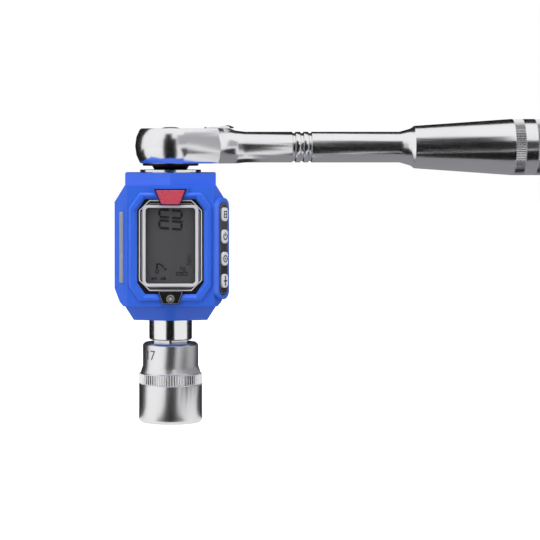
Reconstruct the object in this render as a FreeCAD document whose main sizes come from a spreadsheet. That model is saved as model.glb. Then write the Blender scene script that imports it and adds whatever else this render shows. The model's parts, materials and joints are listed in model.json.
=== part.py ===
# Digital torque adapter worn between a reversible ratchet and a 17 mm socket.
# Millimetres. Origin at the centre of the socket's mouth, +Z up the drive axis,
# +X along the ratchet's handle, the display looks along -Y.
# The socket is drawn from its mouth, the shaft and the housing from the housing's low end,
# the ratchet from the handle's own axis. Each group is then raised to its place.

import FreeCAD, Part
import math
import os
import re
import Sketcher
from FreeCAD import Placement, Rotation, Vector

# Driving dimensions
sizes = {
    # Square drives: the male square, its running clearance per side and its corner flats
    "driveSquare": 9.5, "squareClearance": 0.06, "squareCorner": 0.47, "maleLength": 10.6,
    "femaleDepth": 11.6, "detentBall": 1.5, "detentFromEnd": 4.2, "detentProud": 0.03,
    "detentFit": 0.03, "detentDeep": 0.54,
    # Socket
    "socketLength": 30.1, "socketWall": 2.13, "socketLow": 14.3, "knurlWide": 4.2,
    "knurlSink": 0.3, "knurlSeam": 0.25, "flareLong": 2.8, "socketTopRadius": 10.55,
    "socketEdge": 0.8, "hexFlats": 17.1, "hexDepth": 13.0, "hexEdge": 0.6, "throughBore": 4.4,
    # Torque shaft
    "socketGap": 1.1, "neckShown": 8.2, "shoulderRadius": 8.15, "shoulderEdge": 0.5,
    "gaugeRadius": 5.0, "gaugeDrop": 3.4, "gaugeBlend": 2.5, "gaugeThick": 0.2, "gaugeSpan": 50,
    "headWall": 2.35, "stopNeck": 7.2, "flangeWide": 3.0, "flangeThick": 0.85, "flangeGap": 0.25,
    "seatGap": 0.1,
    # Housing: front block with leaning corners, collars, rear half
    "frontDepth": 20.0, "podTurn": 53.0, "shellWall": 1.8, "splitY": 1.0, "cornerRun": 5.5,
    "blockLow": 5.7, "shoulderRise": 1.5, "sideRise": 6.4, "cornerDrop": 6.4, "blockBorder": 2.7,
    "shoulderIn": 2.0, "blockLowIn": 3.4, "collarIn": 4.0, "footIn": 7.2, "footStep": 0.6,
    "collarRise": 4.5, "collarFall": 6.5, "collarBack": 1.8, "footFall": 9.5, "footBack": 5.6,
    "rearIn": 6.0, "rearLean": 0.6, "rearSwell": 3.2, "humpEdge": 2.0, "frontEdge": 0.7,
    "plateauRise": 0.9, "plateauBorder": 1.75, "plateauFoot": 1.8, "plateauHead": 1.3,
    "plateauCut": 5.7, "badgeBorder": 1.3,
    # Housing inside: cavity, deck with the stop lug, stop pin
    "floorThick": 5.1, "roofThick": 5.8, "faceWall": 3.8, "deckDrop": 1.4, "deckThick": 3.6,
    "deckCorner": 12.8, "deckSide": 8.0, "deckBehind": 0.97, "stopTurn": 120.0, "stopSpare": 0.7,
    "stopPin": 1.25, "stopFit": 0.8, "stopShort": 0.1, "stopRun": 0.3, "mouthGap": 0.35,
    "backRelief": 0.6,
    # Bearings in the housing
    "bushClearance": 0.05, "lowBushFloor": 1.6, "lowBushHigh": 4.0, "lowBushWall": 1.4,
    "topBushHigh": 3.9, "topBushWall": 1.55, "topBushLip": 1.4, "topBushRoom": 1.2,
    "ringRise": 1.0, "ringThick": 1.0, "ringDeep": 0.8, "ringWall": 2.0, "ringPlay": 0.05,
    "ringRun": 0.8, "ringMouth": 1.6, "ringSpread": 0.8,
    # Display, from the glass outwards
    "glassHalf": 9.25, "glassTall": 28.2, "glassCorner": 1.2, "windowThick": 0.9,
    "windowSink": 0.1, "frameBorder": 1.2, "frameHead": 1.1, "frameCorner": 2.0,
    "frameProud": 0.5, "frameEdge": 0.15, "bezelBorder": 1.81, "bezelFoot": 2.6,
    "bezelHead": 2.1, "bezelCut": 4.2, "bezelThick": 1.08, "recessBorder": 1.49,
    "recessFoot": 1.3, "recessHead": 1.2, "recessRim": 1.6, "recessCut": 5.6,
    "recessDepth": 1.4, "cornerSlope": 0.7, "trimGap": 0.1, "seatPlay": 0.05, "lcdBorder": 1.0,
    "lcdRoom": 0.15, "lcdCorner": 0.5, "lcdThick": 2.4, "boardBorder": 0.6, "boardWide": 2.6,
    "boardThick": 1.2, "buzzerRadius": 4.5, "buzzerThick": 3.0, "buzzerX": 8.0,
    "buzzerRise": 6.4,
    # Badge and lamp on the front
    "badgeRise": 1.0, "badgeTopHalf": 5.65, "badgeLowHalf": 3.4, "badgeProud": 0.5,
    "lampOver": 1.2, "lampTall": 5.0, "lampTopHalf": 4.75, "lampLowHalf": 3.1, "lampDeep": 3.0,
    "lampProud": 0.25, "lampFloor": 0.8, "lensRadius": 1.6, "lensDrop": 3.0, "lensProud": 1.1,
    # Key pod on the right-hand front corner
    "keyRise": 9.5, "keyPitch": 8.25, "keyHalf": 1.75, "keyTall": 2.55, "keyCorner": 1.6,
    "keyProud": 0.7, "keyGap": 0.15, "keyLip": 0.45, "keyLipThick": 0.7, "stripHalf": 2.55,
    "stripFoot": 5.3, "stripHead": 4.55, "stripCorner": 2.4, "stripThick": 0.8,
    "stripShow": 0.1, "podHalf": 3.5, "podBorder": 1.6, "podProud": 2.0, "podCorner": 3.3,
    "podWall": 0.9, "switchHalf": 1.5, "switchThick": 0.9, "switchGap": 0.6,
    "keyBoardHalf": 2.5, "keyBoardThick": 1.0, "keyBoardShort": 1.0,
    # Side insert on the left-hand front corner
    "insertHalf": 1.1, "insertRise": 8.7, "insertDrop": 9.9, "insertDeep": 0.9,
    "insertProud": 0.25, "insertEnd": 0.9, "insertPitch": 1.6, "insertRib": 0.8,
    "insertRibProud": 0.25, "insertRibShort": 0.3,
    # Battery bay
    "cellRadius": 5.25, "cellLength": 44.5, "cellGap": 1.5, "cellRoom": 0.2, "cellEdge": 0.4,
    "cellNub": 1.9, "cellNubHigh": 0.8, "baySide": 0.45, "bayWall": 1.7, "bayEnd": 1.5,
    "bayBack": 1.7, "bayCorner": 0.8, "doorThick": 1.7, "doorRoom": 0.3, "doorLip": 0.8,
    "doorGap": 0.15, "doorRidge": 0.5, "ridgeHalf": 5.0, "ridgePitch": 1.8, "ridgeFoot": 3.0,
    "contactRoom": 1.65, "contactHalf": 3.0, "contactThick": 0.5, "contactTip": 1.2,
    "contactGap": 0.1,
    # Housing screws
    "screwIn": 6.4, "screwRise": 2.9, "screwDrop": 3.6, "screwRadius": 1.1, "screwFit": 0.02,
    "screwHead": 2.2, "screwHeadThick": 1.6, "screwSeat": 5.5, "screwEnd": 9.0,
    "screwRoom": 2.6, "screwPass": 0.2,
    # Ratchet head and neck
    "headLow": -6.2, "headHigh": 7.1, "headLip": 1.25, "headBulge": 1.6, "headSoft": 0.45,
    "headFlat": 3.4, "headEdge": 0.6, "headSwell": 0.9, "rootHalf": 7.0, "rootFlat": 2.6,
    "waistX": 4.0, "waistHalf": 11.0, "flareStart": 17.0, "flareWide": 11.5, "flareRoom": 4.5,
    "flareOver": 3.0, "neckStart": 28.4, "neckLength": 58.7, "neckRadius": 5.85,
    "grooveRise": 18.5, "groovePitch": 3.05, "grooveDeep": 0.5, "grooveHalf": 0.7,
    # Ratchet grip
    "riseLong": 4.9, "riseStep": 1.0, "riseSwell": 1.1, "riseRadius": 7.5, "riseBevel": 0.7,
    "gripCollar": 8.1, "coneLength": 43.0, "bandRadius": 10.7, "bandSink": 0.25,
    "bandWide": 4.0, "ringWide": 4.4, "gripBandWide": 39.5, "gripButt": 8.5, "buttBevel": 2.0,
    "buttEdge": 0.6, "buttRadius": 9.0,
    # Ratchet drive
    "gearTeeth": 72, "gearTip": 9.6, "toothDeep": 0.55, "gearTop": 3.6, "gearPlay": 0.3,
    "journalWall": 1.45, "journalDrop": 0.2, "journalFit": 0.05, "hubRadius": 7.05,
    "hubFoot": 6.25, "hubFootHigh": 1.4, "hubLow": -8.5, "coverThick": 0.9, "coverFit": 0.05,
    "coverLip": 0.8, "coverEdge": 0.3, "coverSpigotHigh": 1.0, "coverRun": 0.1,
    "releaseRod": 1.6, "releaseFit": 0.1, "releaseEdge": 0.5, "releaseRun": 0.6,
    "releaseShort": 1.1, "buttonRadius": 3.85, "buttonFloor": 3.3, "buttonLift": 2.0,
    "buttonDome": 0.75, "springRadius": 2.7, "springWire": 0.35, "springPlay": 0.05,
    # Pawl and reversing lever
    "leverReach": 6.2, "leverShaft": 2.6, "leverFit": 0.05, "pawlHub": 4.0, "pawlPlay": 0.3,
    "pawlShort": 0.2, "pawlTipIn": 2.6, "pawlTipOut": 0.2, "pawlToeIn": 3.3, "pawlWaistX": 13.6,
    "pawlWaistY": 3.6, "pawlWaistIn": 0.4, "pawlRoom": 1.2, "pawlRock": 5.8, "pawlMesh": 0.1,
    "reliefHalf": 4.0, "reliefOut": 0.8, "leverTurn": 18.0, "leverPlateRadius": 2.9,
    "leverRise": 0.1, "leverPlateThick": 0.45, "leverTabStart": 3.6, "leverTabEnd": 7.8,
    "leverTabHalf": 2.6, "leverTabHigh": 0.65, "plungerRadius": 0.7, "plungerLength": 3.2,
    "plungerShort": 0.5, "plungerFit": 0.05, "plungerZ": -0.6,
}

# Sizes that follow from others
derived = {
    "squareAcross": "driveSquare * sqrt(2) - 2*squareCorner",
    "detentRing": "driveSquare/2 + squareClearance + detentDeep",
    "socketRadius": "hexFlats / sqrt(3) + socketWall",
    "knurlRadius": "socketRadius - knurlSink",
    "knurlTop": "socketLow + knurlWide",
    "flareRadius": "knurlRadius - knurlSink",
    "flareTop": "knurlTop + flareLong",
    "headRadius": "squareAcross/2 + headWall",
    "flangeRadius": "headRadius + flangeWide",
    "shoulderLow": "0 - neckShown",
    "shaftTop": "housingHigh + flangeGap + flangeThick",
    "seat": "shaftTop + seatGap",
    "gaugeLow": "cavityLow",
    "gaugeHigh": "deckLow - gaugeDrop",
    # heights of the housing and its display, from the housing's low end
    "plateauLow": "blockLow + plateauFoot",
    "recessLow": "plateauLow + recessRim",
    "bezelLow": "recessLow + recessFoot",
    "frameLow": "bezelLow + bezelFoot",
    "glassLow": "frameLow + frameBorder",
    "glassHigh": "glassLow + glassTall",
    "frameHigh": "glassHigh + frameHead",
    "bezelHigh": "frameHigh + bezelHead",
    "recessHigh": "bezelHigh + recessHead",
    "plateauHigh": "recessHigh + plateauHead",
    "blockHigh": "plateauHigh + blockBorder",
    "housingHigh": "blockHigh + collarRise",
    "blockShoulder": "blockLow + shoulderRise",
    "sideLow": "blockLow + sideRise",
    "sideHigh": "blockHigh - cornerDrop",
    "cavityLow": "blockLow + floorThick",
    "cavityHigh": "blockHigh - roofThick",
    "deckHigh": "cavityHigh - deckDrop",
    "deckLow": "deckHigh - deckThick",
    "stopHeight": "deckLow + deckThick/2",
    "lcdLow": "glassLow - lcdBorder",
    "lcdHigh": "glassHigh + lcdBorder",
    "boardLow": "lcdLow - boardBorder",
    "boardHigh": "lcdHigh + boardBorder",
    "buzzerZ": "glassLow + buzzerRise",
    "badgeTop": "plateauHigh + badgeRise",
    "badgeLow": "frameHigh + trimGap",
    "lampTop": "bezelLow + lampOver",
    "lampLow": "lampTop - lampTall",
    "lensHeight": "lampTop - lensDrop",
    "keyFirst": "blockLow + keyRise",
    "stripLow": "keyFirst - stripFoot",
    "stripHigh": "keyFirst + 3*keyPitch + stripHead",
    "podLow": "stripLow - podBorder",
    "podHigh": "stripHigh + podBorder",
    "insertLow": "blockLow + insertRise",
    "insertHigh": "blockHigh - insertDrop",
    "screwLow": "blockLow + screwRise",
    "screwHigh": "blockHigh - screwDrop",
    "bayMiddle": "housingHigh / 2",
    "bayLow": "bayMiddle - cellLength/2 - contactRoom",
    "bayHigh": "bayMiddle + cellLength/2 + contactRoom",
    "humpLow": "bayLow - bayEnd",
    "humpHigh": "bayHigh + bayEnd",
    # widths, from the glass outwards
    "frameHalf": "glassHalf + frameBorder",
    "bezelHalf": "frameHalf + bezelBorder",
    "recessHalf": "bezelHalf + recessBorder",
    "frontHalf": "recessHalf + plateauBorder",
    "sideHalf": "frontHalf + cornerRun",
    "shoulderHalf": "sideHalf - shoulderIn",
    "blockLowHalf": "sideHalf - blockLowIn",
    "collarHalf": "sideHalf - collarIn",
    "footHalf": "sideHalf - footIn",
    "rearHalf": "sideHalf - rearIn",
    "lcdHalf": "glassHalf + lcdRoom + lcdBorder",
    "boardHalf": "lcdHalf + boardWide",
    "screwX": "sideHalf - screwIn",
    "cellX": "cellRadius + cellGap/2",
    "bayHalf": "cellX + cellRadius + baySide",
    "humpHalf": "bayHalf + bayWall",
    # depths
    "collarSide": "frontDepth - collarFall",
    "collarFront": "frontDepth - collarBack",
    "footSide": "frontDepth - footFall",
    "footFront": "frontDepth - footBack",
    "cavityFront": "frontDepth - faceWall",
    "boardFront": "frontDepth - recessDepth - bezelThick - lcdThick - 3*seatPlay",
    "deckFront": "boardFront - boardThick - deckBehind",
    "cavityBack": "ringRoom - backRelief",
    "bayFloor": "cavityBack + bayBack",
    "rearDepth": "bayFloor + rearSwell",
    "cellY": "bayFloor + cellRadius + cellRoom",
    "humpDepth": "cellY + cellRadius + doorRoom + doorThick",
    # bearings and stop
    "lowBushRadius": "shoulderRadius + bushClearance + lowBushWall",
    "topBushRadius": "headRadius + bushClearance + topBushWall",
    "topBushFloor": "housingHigh - topBushLip - topBushHigh",
    "ringFloor": "lowBushFloor + lowBushHigh + ringRise",
    "ringGroove": "shoulderRadius - ringDeep",
    "ringRadius": "ringGroove + ringPlay + ringWall",
    "ringRoom": "ringRadius + ringRun",
    "stopInner": "stopNeck + stopFit",
    "stopReach": "ringRoom - stopShort",
    "stopRoom": "ringRoom + stopRun",
    # ratchet
    "pocketTop": "gearTop + gearPlay",
    "pocketRadius": "gearTip + gearPlay",
    "gearLow": "headLow + coverSpigotHigh + gearPlay",
    "gearRoot": "gearTip - toothDeep",
    "journalTop": "headHigh - journalDrop",
    "coverBore": "hubRadius + coverRun",
    "coverSpigot": "pocketRadius - coverFit",
    "coverRadius": "coverSpigot + coverLip",
    "headRim": "coverRadius + headLip",
    "headBelly": "headRim + headBulge",
    "headMiddle": "(headLow + headHigh) / 2",
    "gripStart": "neckStart + neckLength",
    "grooveFirst": "neckStart + grooveRise",
    "gripRise": "gripStart + riseLong",
    "bandStart": "gripStart + coneLength",
    "bandEnd": "bandStart + bandWide",
    "ringEnd": "bandEnd + ringWide",
    "gripBandEnd": "ringEnd + gripBandWide",
    "gripEnd": "gripBandEnd + gripButt",
    "releaseBore": "releaseRod + releaseFit",
    "buttonBore": "buttonRadius + releaseFit",
    "journalRadius": "buttonBore + journalWall",
    "buttonUnder": "buttonFloor + buttonLift",
    "detentLow": "hubLow - maleLength + detentFromEnd - detentBall",
    "leverX": "gearTip + leverReach",
    "leverPlateLow": "headHigh + leverRise",
    "pawlLow": "gearLow + pawlPlay",
    "pawlTop": "gearTop - pawlShort",
    "pawlPocketLow": "gearLow",
    "pawlPocketTop": "pawlTop + pawlPlay",
    "pawlTipX": "gearTip + pawlTipOut",
    "pawlTipY": "gearTip - pawlTipIn",
    "pawlToeX": "gearTip - pawlTipIn",
    "pawlToeY": "gearTip - pawlToeIn",
    "reliefX": "gearTip + reliefOut",
    # where each group stands above the socket's mouth
    "housingBase": "socketLength + socketGap + neckShown",
    "handleHeight": "housingBase + seat - hubLow",
}

doc = FreeCAD.newDocument("TorqueAdapter")
sheet = doc.addObject("Spreadsheet::Sheet", "Sizes")
for row, (name, value) in enumerate(sizes.items(), 1):
    sheet.set(f"A{row}", name)
    sheet.set(f"B{row}", str(value))
    sheet.setAlias(f"B{row}", name)
doc.recompute()
nodes = []


def expression(text):
    """Turn plain names into references to the sheet's cells, and derived sizes into sums."""
    def reference(word):
        if word[0] in derived:
            return f"({expression(derived[word[0]])})"
        return f"Sizes.{word[0]}" if word[0] in sizes else word[0]
    return re.sub(r"[A-Za-z]\w*", reference, str(text))


def number(text):
    """Work out the present value of a size or of a sum of sizes."""
    value = sheet.evalExpression(expression(text))
    return float(getattr(value, "Value", value))


def bind(item, field, text):
    """Tie one property to the sheet."""
    item.setExpression(field, expression(text))


def plane(body, role):
    """Find one of a body's own origin planes or axes."""
    return next(item for item in body.Origin.OriginFeatures if item.Role == role)


def new_body(label):
    body = doc.addObject("PartDesign::Body", label)
    body.Label = label
    return body


def new_sketch(body, name, role="XY_Plane", offset=0, turn=0):
    """Start a sketch on an origin plane, moved along its normal and turned about its own Y."""
    sketch = body.newObject("Sketcher::SketchObject", name)
    sketch.AttachmentSupport = [(plane(body, role), "")]
    sketch.MapMode = "FlatFace"
    if turn:
        swing = Rotation(Vector(0, 1, 0), number(turn))
        sketch.AttachmentOffset = Placement(swing.multVec(Vector(0, 0, number(offset))), swing)
        bind(sketch, "AttachmentOffset.Base.x", f"({offset}) * sin({turn})")
        bind(sketch, "AttachmentOffset.Base.z", f"({offset}) * cos({turn})")
        bind(sketch, "AttachmentOffset.Rotation.Angle", turn)
    else:
        bind(sketch, "AttachmentOffset.Base.z", offset)
    return sketch


def place(sketch, item, point, x, y):
    """Hold one point of a sketch at a place given in sizes."""
    for kind, text in (("DistanceX", x), ("DistanceY", y)):
        index = sketch.addConstraint(Sketcher.Constraint(kind, -1, 1, item, point, number(text)))
        bind(sketch, f"Constraints[{index}]", text)


def add_outline(sketch, points):
    """Draw a closed outline of straight lines through the points."""
    corners = [Vector(number(x), number(y), 0) for x, y in points]
    first = sketch.GeometryCount
    for start, end in zip(corners, corners[1:] + corners[:1]):
        sketch.addGeometry(Part.LineSegment(start, end), False)
    for index in range(len(corners)):
        following = first + (index + 1) % len(corners)
        sketch.addConstraint(Sketcher.Constraint("Coincident", first + index, 2, following, 1))
        place(sketch, first + index, 1, *points[index])


def add_circle(sketch, x, y, radius):
    item = sketch.addGeometry(Part.Circle(Vector(number(x), number(y), 0), Vector(0, 0, 1),
                                          number(radius)), False)
    place(sketch, item, 3, x, y)
    index = sketch.addConstraint(Sketcher.Constraint("Radius", item, number(radius)))
    bind(sketch, f"Constraints[{index}]", radius)


def add_rounded(sketch, left, right, low, high, radius):
    """Draw a rectangle with four equal round corners."""
    first = sketch.GeometryCount
    x0, x1, y0, y1, r = (number(text) for text in (left, right, low, high, radius))
    sides = [((x0 + r, y0), (x1 - r, y0)), ((x1, y0 + r), (x1, y1 - r)),
             ((x1 - r, y1), (x0 + r, y1)), ((x0, y1 - r), (x0, y0 + r))]
    centres = [(x1 - r, y0 + r), (x1 - r, y1 - r), (x0 + r, y1 - r), (x0 + r, y0 + r)]
    for index in range(4):
        start, end = sides[index]
        sketch.addGeometry(Part.LineSegment(Vector(*start, 0), Vector(*end, 0)), False)
        circle = Part.Circle(Vector(*centres[index], 0), Vector(0, 0, 1), r)
        angle = math.radians(90 * index - 90)
        sketch.addGeometry(Part.ArcOfCircle(circle, angle, angle + math.pi / 2), False)
    for index in range(4):
        line, arc, following = first + 2 * index, first + 2 * index + 1, first + 2 * (index + 1) % 8
        sketch.addConstraint(Sketcher.Constraint("Tangent", line, 2, arc, 1))
        sketch.addConstraint(Sketcher.Constraint("Tangent", arc, 2, first + (2 * index + 2) % 8, 1))
        kind = "Horizontal" if index % 2 == 0 else "Vertical"
        sketch.addConstraint(Sketcher.Constraint(kind, line))
        if index:
            sketch.addConstraint(Sketcher.Constraint("Equal", first + 1, arc))
    index = sketch.addConstraint(Sketcher.Constraint("Radius", first + 1, r))
    bind(sketch, f"Constraints[{index}]", radius)
    place(sketch, first + 3, 3, f"({right}) - ({radius})", f"({high}) - ({radius})")
    place(sketch, first + 7, 3, f"({left}) + ({radius})", f"({low}) + ({radius})")


def feature(body, kind, sketch, **values):
    """Add one sketch-based feature; texts become expressions, other values are set."""
    item = body.newObject(f"PartDesign::{kind}", f"{kind}_{sketch.Name}")
    item.Profile = sketch
    for field, value in values.items():
        if isinstance(value, str) and field not in ("Type", "SideType"):
            bind(item, field, value)
        else:
            setattr(item, field, value)
    sketch.Visibility = False
    return item


def pad(body, sketch, length, **values):
    return feature(body, "Pad", sketch, Length=length, **values)


def pocket(body, sketch, length, **values):
    """Cut along the sketch's normal, away from the side that the normal points to."""
    return feature(body, "Pocket", sketch, Length=length, **values)


def turned(body, name, points, role="XZ_Plane", axis="V_Axis", kind="Revolution", **values):
    """Revolve an outline of radius and height about the body's axis."""
    sketch = new_sketch(body, name, role)
    add_outline(sketch, points)
    item = feature(body, kind, sketch, Angle=values.pop("Angle", "360"), **values)
    item.ReferenceAxis = (sketch, [axis])
    return item


def edges_where(body, test):
    """Name the edges of a body's present shape whose middle and box pass a test."""
    doc.recompute()
    tip = body.Tip
    chosen = []
    for index, edge in enumerate(tip.Shape.Edges, 1):
        if test(edge):
            chosen.append(f"Edge{index}")
    return tip, chosen


def soften(body, kind, amount, test):
    """Round or bevel the edges that pass a test."""
    tip, chosen = edges_where(body, test)
    item = body.newObject(f"PartDesign::{kind}", f"{kind}_{tip.Name}")
    item.Base = (tip, chosen)
    bind(item, "Radius" if kind == "Fillet" else "Size", amount)
    return item


def polar(body, source, count):
    """Repeat a feature round the body's own Z axis."""
    item = body.newObject("PartDesign::PolarPattern", f"Around_{source.Name}")
    item.Originals = [source]
    item.Axis = (plane(body, "Z_Axis"), [""])
    item.Angle = 360
    bind(item, "Occurrences", count)
    body.Tip = item
    return item


def square_points(flats, corner, turn=45):
    """Corner-on square with flat corners: across its flats and across its corners."""
    reach, side = f"({corner}) / 2", f"(({flats}) * sqrt(2) - ({corner})) / 2"
    return [(reach, f"-{side}"), (reach, side), (side, reach), (f"-{side}", reach),
            (f"-({reach})", side), (f"-({reach})", f"-{side}"), (f"-{side}", f"-({reach})"),
            (side, f"-({reach})")]


femaleSquare = square_points("driveSquare + 2*squareClearance", "squareAcross + 4*squareClearance")
maleSquare = square_points("driveSquare", "squareAcross")


def keep(item, height="0"):
    """Raise a finished piece to its group's place and put it on the list."""
    bind(item, "Placement.Base.z", height)
    nodes.append(item)
    return item


def gather(label, links):
    """Join repeated pieces of the housing or the shaft in one node."""
    group = doc.addObject("Part::Compound", label)
    group.Label = label
    group.Links = links
    return keep(group, "housingBase")



# Socket: six-point mouth below, square hole above, stepped outside
def make_socket():
    body = new_body("socket")
    turned(body, "SocketWall", [
        ("0", "0"), ("socketRadius - socketEdge", "0"), ("socketRadius", "socketEdge"),
        ("socketRadius", "socketLow"), ("knurlRadius", "socketLow + knurlSeam"),
        ("knurlRadius", "knurlTop"), ("flareRadius", "knurlTop + knurlSeam"),
        ("socketTopRadius", "flareTop"), ("socketTopRadius", "socketLength - socketEdge"),
        ("socketTopRadius - socketEdge", "socketLength"), ("0", "socketLength")])
    mouth = new_sketch(body, "Hexagon")
    flat = "hexFlats / 2"
    half = "hexFlats / 2 / sqrt(3)"
    add_outline(mouth, [(f"2*{half}", "0"), (half, flat), (f"-{half}", flat), (f"-2*{half}", "0"),
                        (f"-{half}", f"-{flat}"), (half, f"-{flat}")])
    pocket(body, mouth, "hexDepth", Reversed=True)
    turned(body, "MouthBevel", [("0", "-1"), (f"2*{half} + hexEdge + 1", "-1"),
                                (f"2*{half} - hexEdge", "hexEdge * 2"), ("0", "hexEdge * 2")],
           kind="Groove")
    square = new_sketch(body, "SquareHole", offset="socketLength")
    add_outline(square, femaleSquare)
    pocket(body, square, "femaleDepth")
    bore = new_sketch(body, "ThroughBore")
    add_circle(bore, "0", "0", "throughBore")
    pocket(body, bore, "socketLength", Reversed=True)
    detent_groove(body, "socketLength + socketGap - maleLength + detentFromEnd")
    keep(body)


def detent_groove(body, middle):
    """Ring groove inside a square hole, for the detent ball."""
    turned(body, "DetentRing", [
        ("0", f"{middle} - detentBall"), ("detentRing", f"{middle} - detentBall"),
        ("detentRing", f"{middle} + detentBall"), ("0", f"{middle} + detentBall")], kind="Groove")


# Torque shaft: square drive, shoulder, thin measuring length, head with a square hole, flange
def make_shaft():
    body = new_body("torque_shaft")
    ringEnd = "ringFloor + ringThick + 2*ringPlay"
    turned(body, "ShaftWall", [
        ("0", "shoulderLow"), ("shoulderRadius - shoulderEdge", "shoulderLow"),
        ("shoulderRadius", "shoulderLow + shoulderEdge"), ("shoulderRadius", "ringFloor"),
        ("ringGroove", "ringFloor"), ("ringGroove", ringEnd), ("shoulderRadius", ringEnd),
        ("shoulderRadius", "gaugeLow - gaugeBlend/2"), ("gaugeRadius", "gaugeLow + gaugeBlend"),
        ("gaugeRadius", "gaugeHigh - gaugeBlend"), ("stopNeck", "gaugeHigh"),
        ("stopNeck", "shaftTop - femaleDepth - headRadius + stopNeck"),
        ("headRadius", "shaftTop - femaleDepth"), ("headRadius", "housingHigh + flangeGap"),
        ("flangeRadius", "housingHigh + flangeGap"), ("flangeRadius", "shaftTop"),
        ("0", "shaftTop")])
    male = new_sketch(body, "MaleSquare", offset="shoulderLow")
    add_outline(male, maleSquare)
    pad(body, male, "maleLength", Reversed=True)
    female = new_sketch(body, "FemaleSquare", offset="shaftTop")
    add_outline(female, femaleSquare)
    pocket(body, female, "femaleDepth")
    detent_groove(body, "seat - maleLength + detentFromEnd")
    ball = new_sketch(body, "BallHole", role="XZ_Plane", offset="0", turn="45")
    add_circle(ball, "0", "shoulderLow - maleLength + detentFromEnd", "detentBall + detentFit")
    pocket(body, ball, "driveSquare", Reversed=True)
    pin = new_sketch(body, "PinHole", role="XZ_Plane")
    add_circle(pin, "0", "stopHeight", "stopPin")
    pocket(body, pin, "headRadius")
    keep(body, "housingBase")


def make_shaft_trim():
    """Bushes, retaining ring, stop pin, detent ball and gauges, all carried by the shaft."""
    low, high = "lowBushFloor", "lowBushFloor + lowBushHigh"
    inner = "shoulderRadius + bushClearance"
    body = new_body("lower_bush")
    turned(body, "LowBush", [(inner, low), ("lowBushRadius", low), ("lowBushRadius", high),
                             (inner, high)])
    keep(body, "housingBase")
    low, high = "topBushFloor", "topBushFloor + topBushHigh"
    inner = "headRadius + bushClearance"
    body = new_body("upper_bush")
    turned(body, "TopBush", [(inner, low), ("topBushRadius", low), ("topBushRadius", high),
                             (inner, high)])
    keep(body, "housingBase")
    low, high = "ringFloor + ringPlay", "ringFloor + ringPlay + ringThick"
    inner = "ringGroove + ringPlay"
    body = new_body("shaft_retaining_ring")
    turned(body, "RetainingRing", [(inner, low), ("ringRadius", low), ("ringRadius", high),
                                   (inner, high)])
    gap = new_sketch(body, "RingGap", offset=low)
    add_outline(gap, [("-ringMouth", "gaugeRadius"), ("ringMouth", "gaugeRadius"),
                      ("ringMouth + ringSpread", "ringRoom"), ("-ringMouth - ringSpread", "ringRoom")])
    pocket(body, gap, "2*ringThick", Reversed=True)
    keep(body, "housingBase")
    pin = doc.addObject("Part::Cylinder", "turn_stop_pin")
    pin.Label = "turn_stop_pin"
    bind(pin, "Radius", "stopPin")
    bind(pin, "Height", "stopReach")
    pin.Placement = Placement(Vector(0, 0, 0), Rotation(Vector(1, 0, 0), -90))
    keep(pin, "housingBase + stopHeight")
    make_ball("shaft_detent_ball", "housingBase + shoulderLow - maleLength + detentFromEnd")


def make_ball(label, height):
    """Detent ball pressed level with one flat of a square drive."""
    ball = doc.addObject("Part::Sphere", label)
    ball.Label = label
    bind(ball, "Radius", "detentBall")
    reach = "(driveSquare/2 + detentProud - detentBall)"
    bind(ball, "Placement.Base.x", f"{reach} * sin(45)")
    bind(ball, "Placement.Base.y", f"-{reach} * cos(45)")
    keep(ball, height)


def make_gauges():
    """Four foil gauges wrapped on the thin length of the shaft."""
    patches = []
    for index in range(4):
        outer = doc.addObject("Part::Cylinder", f"GaugeOuter{index}")
        inner = doc.addObject("Part::Cylinder", f"GaugeInner{index}")
        for item, radius in ((outer, "gaugeRadius + gaugeThick"), (inner, "gaugeRadius")):
            bind(item, "Radius", radius)
            bind(item, "Height", "(gaugeHigh - gaugeLow) / 3")
            bind(item, "Angle", "gaugeSpan")
            item.Placement = Placement(Vector(), Rotation(Vector(0, 0, 1), 90 * index))
            bind(item, "Placement.Base.z", "gaugeLow + (gaugeHigh - gaugeLow) / 3")
        patch = doc.addObject("Part::Cut", f"Gauge{index}")
        patch.Base, patch.Tool = outer, inner
        patches.append(patch)
    gather("strain_gauges", patches)


# Housing outline, shared by both shells
def block_outline():
    """Silhouette of the housing's block seen from the front."""
    right = [("blockLowHalf", "blockLow"), ("shoulderHalf", "blockShoulder"),
             ("sideHalf", "sideLow"), ("sideHalf", "sideHigh"), ("collarHalf", "blockHigh")]
    return right + [(f"-{x}", z) for x, z in reversed(right)]


def corner_cut(side, depth, half, lean):
    """Triangle outside a leaning corner face of the block, from above."""
    end = f"({depth}) - (sideHalf + cornerRun - {half}) * {lean}"
    x = "" if side > 0 else "-"
    y = "-" if depth == "frontDepth" else ""
    return [(f"{x}{half}", f"{y}({depth})"), (f"{x}(sideHalf + cornerRun)", f"{y}({end})"),
            (f"{x}(sideHalf + cornerRun)", f"{y}(2*{depth})"), (f"{x}{half}", f"{y}(2*{depth})")]


def collar_points(half, side, front, sign):
    """Half of a collar from above, creased at its middle."""
    return [(f"-({half})", "splitY"), (f"-({half})", f"{sign}{side}"), ("0", f"{sign}{front}"),
            (half, f"{sign}{side}"), (half, "splitY")]


def add_collars(body, sign):
    """Straight top collar and tapered foot collar."""
    top = new_sketch(body, "TopCollar", offset="cavityHigh")
    add_outline(top, collar_points("collarHalf", "collarSide", "collarFront", sign))
    pad(body, top, "housingHigh - cavityHigh")
    upper = new_sketch(body, "FootUpper", offset="blockShoulder")
    add_outline(upper, collar_points("blockLowHalf + footStep", "collarSide", "collarFront", sign))
    lower = new_sketch(body, "FootLower")
    add_outline(lower, collar_points("footHalf", "footSide", "footFront", sign))
    foot = body.newObject("PartDesign::AdditiveLoft", "Foot")
    foot.Profile = lower
    foot.Sections = [upper]
    foot.Ruled = True


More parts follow.
